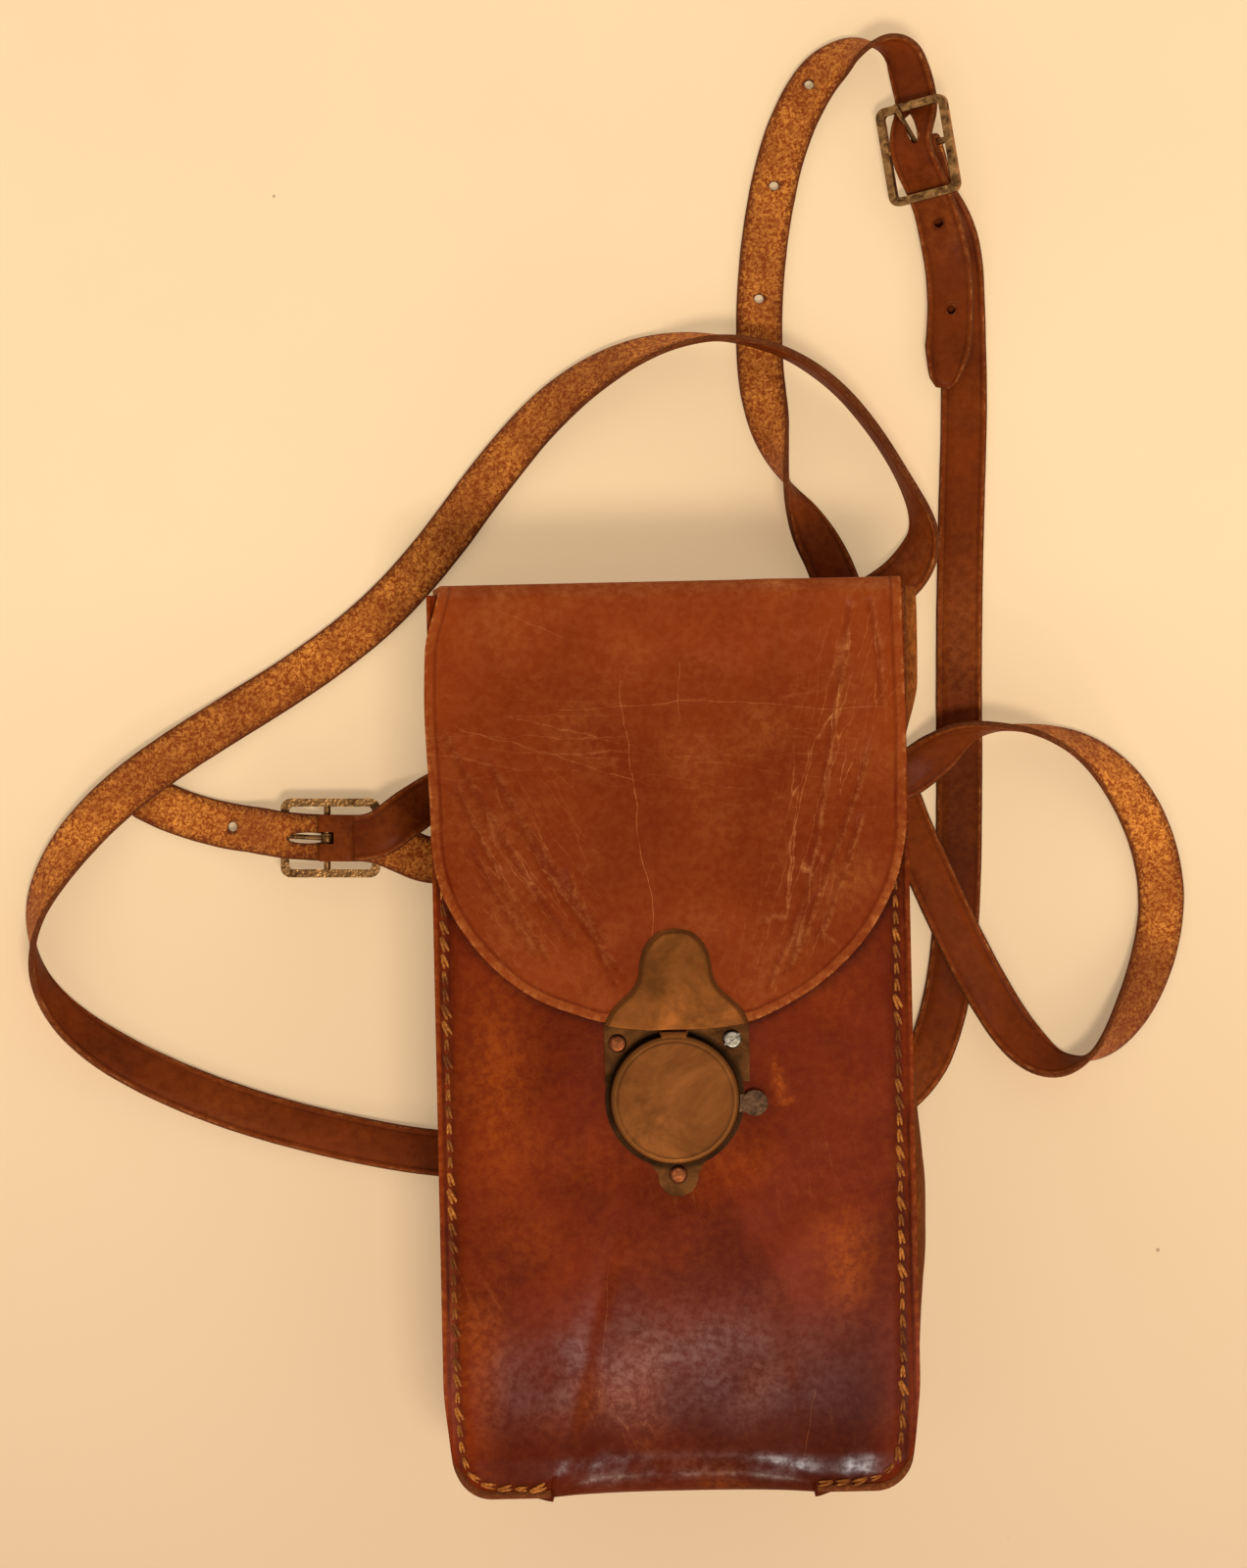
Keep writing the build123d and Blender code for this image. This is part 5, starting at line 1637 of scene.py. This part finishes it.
front_stitches = sew("front_stitches", [seam_line(-1, False), seam_line(1, False)])
back_stitches = sew("back_stitches", [seam_line(-1, True), seam_line(1, True)], Height=-0.0013, Seed=5)
keeper_lines = []
for keeper_x, keeper_y in keeper_places.values():
    for end in (-1, 1):
        row_y = keeper_y + end * (keeper_half_length - keeper_seam_inset)
        keeper_lines.append([(keeper_x + keeper_seam_half * k, row_y, keeper_top_z) for k in (-1, 0, 1)])
keeper_stitches = sew("keeper_thread", keeper_lines, Pitch=0.0036, Length=0.0028, Width=0.0010,
                      Height=-0.0008, Slant=0.05)
bpy.data.objects.remove(one_stitch)

# %% [markdown]
# ## Metal
# The fittings are old brass that has gone brown, with brighter metal where hands rub it. One plain brass
# would look new, and a material for each stain would be slow. So one node group makes the stains, the fine
# brushed lines and the pits, and each metal takes its own colours.

# %% Group: tarnish
def build_tarnish():
    """Stains, brushed lines and pits of old metal."""
    tree, given, made = new_group("tarnish", [("Stain Scale", 120.0), ("Pit Scale", 900.0)],
                                  ["Stain", "Lines", "Pits"])
    place = object_place(tree)
    stain = cloudy(tree, place, given["Stain Scale"], 6.0, 0.65, 0.6)
    stretched = make_node(tree, "ShaderNodeMapping", {"Vector": place, "Scale": (8.0, 0.25, 1.0)},
                          vector_type="TEXTURE").outputs["Vector"]
    pits = make_node(tree, "ShaderNodeTexVoronoi", {"Vector": place, "Scale": given["Pit Scale"]},
                     feature="SMOOTH_F1").outputs["Distance"]
    tree.links.new(spread(tree, stain, 0.36, 0.66), made["Stain"])
    tree.links.new(cloudy(tree, stretched, 600.0, 3.0), made["Lines"])
    tree.links.new(pits, made["Pits"])
    return tree


tarnish = build_tarnish()
print("group", tarnish.name)

# %% Material maker: old metal
def from_disc_middle(tree):
    """How far a point is from the middle of the catch's disc, seen from above."""
    middle = (*disc_middle, 0.0)
    off = calculate_place(tree, "SUBTRACT", object_place(tree), middle).outputs[0]
    flat = calculate_place(tree, "MULTIPLY", off, (1.0, 1.0, 0.0)).outputs[0]
    return calculate_place(tree, "LENGTH", flat).outputs["Value"]


def make_metal(name, bright, dull, roughness, stain=0.8, stain_scale=120.0, pit_depth=0.00005,
               pit_scale=900.0, rings=()):
    """Old metal from its bright and dull colours. Rings round the disc's middle take their own colours, which
    paint highlight and shade round the disc.
    """
    material, tree, shader = start_material(name)
    marks = use_group(tree, tarnish, {"Stain Scale": stain_scale, "Pit Scale": pit_scale})
    look = blend_colours(tree, calculate(tree, "MULTIPLY", marks["Stain"], stain), bright, dull)
    for radius, width, strength, tint in rings:
        off = calculate(tree, "ABSOLUTE", calculate(tree, "SUBTRACT", from_disc_middle(tree), radius))
        look = blend_colours(tree, spread(tree, off, width * 0.25, width, strength, 0.0), look, tint)
    tree.links.new(look, shader.inputs["Base Color"])
    dullness = spread(tree, marks["Stain"], 0.0, 1.0, roughness, roughness + 0.22)
    tree.links.new(dullness, shader.inputs["Roughness"])
    shader.inputs["Metallic"].default_value = 1.0
    rise = calculate(tree, "MULTIPLY_ADD", marks["Lines"], 0.25, marks["Pits"])
    set_relief(tree, shader, rise, 0.5, pit_depth)
    return material


print("metal maker ready")

# %% The metals
# Painted shade: dark brown for the edge where the disc meets the plate.
painted_shade_brown = colour(34, 20, 9)
old_brass = make_metal("old_brass", colour(112, 62, 25), colour(80, 46, 19), 0.42, stain=0.6,
                       stain_scale=60.0, pit_depth=0.00002)
# The disc has a painted highlight ring on its rim's bead at 17.2 mm, is darker in the groove inside the bead
# at 16.1 mm, and has painted shade at its outer edge at 18.4 mm.
disc_brass = make_metal("disc_brass", colour(102, 57, 24), colour(80, 46, 20), 0.42, stain=0.5,
                        stain_scale=45.0, pit_depth=0.000015,
                        rings=[(0.0172, 0.0007, 0.42, colour(132, 82, 38)),
                               (0.0161, 0.0006, 0.45, colour(62, 36, 16)),
                               (0.0184, 0.0006, 0.90, painted_shade_brown)])
# The plate's brass is darker than the hasp's, and darkest in a ring round the disc: painted shade, under the
# hasp and round the disc.
plate_brass = make_metal("plate_brass", colour(86, 50, 22), colour(56, 33, 15), 0.45, stain=0.9,
                         stain_scale=90.0, pit_depth=0.00003, rings=[(0.0188, 0.0016, 0.85, painted_shade_brown)])
rivet_copper = make_metal("rivet_copper", colour(116, 62, 32), colour(66, 36, 20), 0.40, stain_scale=260.0)
buckle_metal = make_metal("buckle_metal", colour(172, 124, 72), colour(74, 45, 23), 0.30, stain=1.0,
                          stain_scale=330.0, pit_depth=0.00022, pit_scale=1300.0)
dark_steel = make_metal("dark_steel", colour(60, 41, 27), colour(34, 22, 14), 0.24, stain_scale=200.0)
screw_steel = make_metal("screw_steel", colour(140, 130, 112), colour(58, 50, 42), 0.20, stain=1.0,
                         stain_scale=620.0)
print("metals", old_brass.name, disc_brass.name, plate_brass.name, rivet_copper.name, buckle_metal.name,
      dark_steel.name, screw_steel.name)

# %% [markdown]
# The hasp was pressed from sheet brass, so its face stands a little above its rim. It is drawn from its
# outline: each row of the mesh spans the bell at one height, and the face rises over the first two
# millimetres from the edge. Under its lower edge hangs a lip with the slot that the bolt enters.

# %% Hasp
hasp_line = read_line("hasp_side", [
    (0.0000, 0.0313, 0.0), (0.0034, 0.0313, 0.0), (0.0066, 0.0293, 0.0), (0.0092, 0.0258, 0.0),
    (0.0102, 0.0212, 0.0), (0.0105, 0.0176, 0.0), (0.0124, 0.0143, 0.0), (0.0158, 0.0115, 0.0),
    (0.0190, 0.0084, 0.0), (0.0203, 0.0050, 0.0)])[:, :2]
hasp_x = 0.0006
hasp_low_y = 0.0028
hasp_under = 0.0659
hasp_sheet = 0.0007
lip_y = (0.0030, 0.0038)
lip_bars = [(-0.0079, -0.0044, 0.0639, 0.0664), (0.0040, 0.0091, 0.0639, 0.0664),
            (-0.0044, 0.0040, 0.0639, 0.06445), (-0.0044, 0.0040, 0.06545, 0.0664)]
hasp_shares = [-1.0, -0.985, -0.965, -0.94, -0.91, -0.88, -0.80] + [-0.7 + 0.1 * k for k in range(15)]
hasp_shares += [0.80, 0.88, 0.91, 0.94, 0.965, 0.985, 1.0]


def block(low, high):
    """Points and faces of a box given by two opposite corners."""
    corners = [(x, y, z) for x in (low[0], high[0]) for y in (low[1], high[1]) for z in (low[2], high[2])]
    sides = [(0, 1, 3, 2), (4, 6, 7, 5), (0, 4, 5, 1), (2, 3, 7, 6), (0, 2, 6, 4), (1, 5, 7, 3)]
    return corners, sides


def build_hasp():
    """Pressed plate of the hasp, then its lip as four bars round the slot."""
    rim = np.vstack([hasp_line, hasp_line * (-1.0, 1.0)])
    rows = [(w, y) for w, y in hasp_line if w > 0.0004]
    vertices = []
    extra = 8
    for index in range(len(rows) + extra):
        for share in hasp_shares:
            width, y = rows[min(index, len(rows) - 1)]
            x = share * width
            if index >= len(rows):
                foot = hasp_low_y + 0.0019 * share * share
                y += (foot - y) * (index - len(rows) + 1) / extra
            gap = min(from_line(rim, x, y), (y - hasp_low_y) * 1.6 + 0.0006)
            rise = 0.0009 * float(soft_step(0.0, 0.0013, gap))
            dome = 0.0003 * math.exp(-(x / 0.010) ** 2 - ((y - 0.014) / 0.010) ** 2)
            vertices.append((hasp_x + x, y, hasp_under + 0.00035 + rise + dome))
    faces = grid_faces(len(rows) + extra, len(hasp_shares), 0, flip=True)
    plate = add_mesh("hasp", vertices, faces, (old_brass,))
    wall = plate.modifiers.new("thickness", "SOLIDIFY")
    wall.thickness = hasp_sheet
    wall.offset = -1.0
    apply_modifiers(plate)
    round_off = plate.modifiers.new("round", "SUBSURF")
    round_off.levels = 1
    round_off.render_levels = 1
    apply_modifiers(plate)
    work = bmesh.new()
    work.from_mesh(plate.data)
    for left, right, low, high in lip_bars:
        corners, sides = block((left, lip_y[0], low), (right, lip_y[1], high))
        made = [work.verts.new(c) for c in corners]
        for side in sides:
            work.faces.new([made[k] for k in side])
    bmesh.ops.recalc_face_normals(work, faces=work.faces)
    work.to_mesh(plate.data)
    work.free()
    return plate


hasp = build_hasp()
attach(hasp, "flap_front_body")
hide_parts("hasp_plate")
print("hasp", len(hasp.data.polygons), "faces")

# %% [markdown]
# The bolt leaves the rim of the cup under a small rounded hood. It is only a block with soft edges, so it is
# made as one: eight corners, and a bevel that rounds them.

# %% Nose over the bolt
def build_nose():
    """Small rounded hood on the rim of the cup, where the bolt leaves it."""
    corners, sides = block((-0.0039, -0.0004, 0.0658), (0.0035, 0.00265, 0.0676))
    nose = add_mesh("bolt_nose", corners, sides, (old_brass,))
    edges = nose.modifiers.new("edges", "BEVEL")
    edges.width = 0.0005
    edges.segments = 3
    apply_modifiers(nose)
    point_outward(nose)
    return nose


bolt_nose = build_nose()
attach(bolt_nose, "case")
print("nose", len(bolt_nose.data.polygons), "faces")

# %% [markdown]
# A board of pressed card stiffens the bottom inside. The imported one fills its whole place, and the rolled
# leather would cut through it, so this one is cut a little smaller. It shows only with the flap open.

# %% Stiff board
def make_board():
    """Grey-brown pressed card, with short fibres."""
    material, tree, shader = start_material("card")
    fibres = cloudy(tree, object_place(tree), 500.0, 5.0, 0.7)
    look = blend_colours(tree, spread(tree, fibres, 0.35, 0.65), colour(112, 84, 58), colour(148, 118, 84))
    tree.links.new(look, shader.inputs["Base Color"])
    shader.inputs["Roughness"].default_value = 0.9
    set_relief(tree, shader, fibres, 0.5, 0.0001)
    return material


card = make_board()


def build_board():
    """The board inside the bottom, cut to fit the rolled leather."""
    corners, sides = block((-0.0546, -0.1258, 0.0150), (0.0546, -0.1240, 0.0470))
    board = add_mesh("board", corners, sides, (card,), smooth=False)
    soft = board.modifiers.new("soft_edges", "BEVEL")
    soft.width = 0.0004
    soft.segments = 2
    apply_modifiers(board)
    point_outward(board)
    return board


bottom_board = build_board()
print("board", len(bottom_board.data.polygons), "faces")

# %% [markdown]
# The small hard pieces of the catch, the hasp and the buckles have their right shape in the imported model.
# They stay as they are, and only their material changes.

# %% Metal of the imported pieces
def paint_node(name, material):
    """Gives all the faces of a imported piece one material."""
    for holder in nodes[name].material_slots:
        holder.material = material


for name, material in (
        ("hasp_studs", old_brass), ("hasp_backing_plate", old_brass),
        ("latch_base_plate", plate_brass), ("latch_cup", disc_brass), ("latch_rivets", rivet_copper),
        ("latch_bolt", old_brass), ("latch_tab", dark_steel), ("bolt_guides", dark_steel),
        ("latch_spring", dark_steel), ("latch_screw", screw_steel), ("latch_screw_nut", screw_steel),
        ("latch_washers", dark_steel), ("buckle_1_frame", buckle_metal), ("buckle_2_frame", buckle_metal),
        ("buckle_1_prong", buckle_metal), ("buckle_2_prong", buckle_metal)):
    paint_node(name, material)
    print(name, "gets", material.name)

# %% [markdown]
# ## What moves with what
# Every other piece rides on a body of the imported model. The flap's leather and the back fold only have
# their transforms baked into their meshes, and ride on no body.

# %% Bodies and replaced nodes
for piece, node, finish in (
        (body_leather, "body_wrap", "case_leather"), (gusset_left, "left_gusset", "case_leather"),
        (gusset_right, "right_gusset", "case_leather"), (front_stitches, "front_seam_stitches", "thread"),
        (back_stitches, "back_seam_stitches", "thread"), (keeper_stitches, "keeper_stitches", "thread"),
        (bottom_board, "bottom_board", "board")):
    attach(piece, "case")
    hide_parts(node)
for node, keeper in keepers.items():
    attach(keeper, "case")
    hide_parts(node)
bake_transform(flap_piece)
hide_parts("flap_top", "flap_front")
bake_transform(back_fold)

# %% [markdown]
# ## Table and light
# The table is a plain warm cream surface. Its colour is a little lighter towards the top of the picture, a
# painted fall-off of the light. One broad lamp stands to the lower right, so the case throws soft shadows to
# the left and to the top. A weak low lamp draws the glints where the front turns under, and an even room
# keeps the shadows light.

# %% Table
table_half = 1.6
table_glow = 0.36


def make_table():
    """Cream painted board with faint smudges and specks, lighter towards the top as a painted fall-off of the
    light.
    """
    material, tree, shader = start_material("table")
    place = object_place(tree)
    parts = make_node(tree, "ShaderNodeSeparateXYZ", {"Vector": place})
    # Painted fall-off of the light: the table's colour is darker towards the bottom and lighter towards the
    # top.
    up = spread(tree, parts.outputs["Y"], -0.16, 0.14)
    base = blend_colours(tree, up, colour(222, 188, 150), colour(254, 219, 171))
    smudge = cloudy(tree, place, 9.0, 6.0, 0.6)
    base = blend_colours(tree, spread(tree, smudge, 0.35, 0.75, 0.0, 0.10), base, colour(226, 184, 132))
    specks = make_node(tree, "ShaderNodeTexVoronoi", {"Vector": place, "Scale": 30.0}).outputs["Distance"]
    base = blend_colours(tree, spread(tree, specks, 0.012, 0.022, 0.55, 0.0), base, colour(120, 80, 44))
    tree.links.new(base, shader.inputs["Base Color"])
    shader.inputs["Roughness"].default_value = 0.8
    shader.inputs["Specular IOR Level"].default_value = 0.1
    glow = make_node(tree, "ShaderNodeEmission", {"Color": base, "Strength": 1.0}).outputs[0]
    seen = make_node(tree, "ShaderNodeLightPath").outputs["Is Camera Ray"]
    share = calculate(tree, "MULTIPLY", seen, table_glow)
    mixed = make_node(tree, "ShaderNodeMixShader", {0: share, 1: shader.outputs[0], 2: glow})
    tree.links.new(mixed.outputs[0], tree.nodes["Material Output"].inputs["Surface"])
    return material


table_corners = [(x * table_half, y * table_half, 0.0) for x, y in ((-1, -1), (1, -1), (1, 1), (-1, 1))]
table = add_mesh("table_top", table_corners, [(0, 1, 2, 3)], (make_table(),), smooth=False)
print("table", table_half * 2, "m")

# %% Lights
def add_light(name, place, target, width, depth, power, tint):
    """A soft rectangular lamp that points at a target."""
    data = bpy.data.lights.new(name, "AREA")
    data.shape = "RECTANGLE"
    data.size = width
    data.size_y = depth
    data.energy = power
    data.color = tint
    lamp = bpy.data.objects.new(name, data)
    lamp.location = place
    lamp.rotation_euler = (Vector(target) - Vector(place)).to_track_quat("-Z", "Y").to_euler()
    bpy.context.scene.collection.objects.link(lamp)
    return lamp


key_lamp = add_light("key_lamp", (0.16, -0.42, 1.40), (0.0, 0.0, 0.03), 0.42, 0.26, 12.0, (1.0, 0.97, 0.92))
low_lamp = add_light("low_lamp", (-0.05, -1.30, 0.62), (0.0, -0.12, 0.05), 0.35, 0.16, 2.4, (1.0, 0.84, 0.62))
print("lamps", key_lamp.name, low_lamp.name)


def make_room():
    """An even room: bright walls all round and a dark ceiling, so that flat faces don't mirror it."""
    room = bpy.data.worlds.new("room")
    room.use_nodes = True
    tree = room.node_tree
    direction = make_node(tree, "ShaderNodeTexCoord").outputs["Generated"]
    height = make_node(tree, "ShaderNodeSeparateXYZ", {"Vector": direction}).outputs["Z"]
    back = tree.nodes["Background"]
    back.inputs["Color"].default_value = (1.0, 0.97, 0.93, 1.0)
    tree.links.new(spread(tree, height, 0.55, 0.93, 1.05, 0.16), back.inputs["Strength"])
    return room


bpy.context.scene.world = make_room()
bpy.context.scene.view_settings.view_transform = "Standard"
print("lights ready")
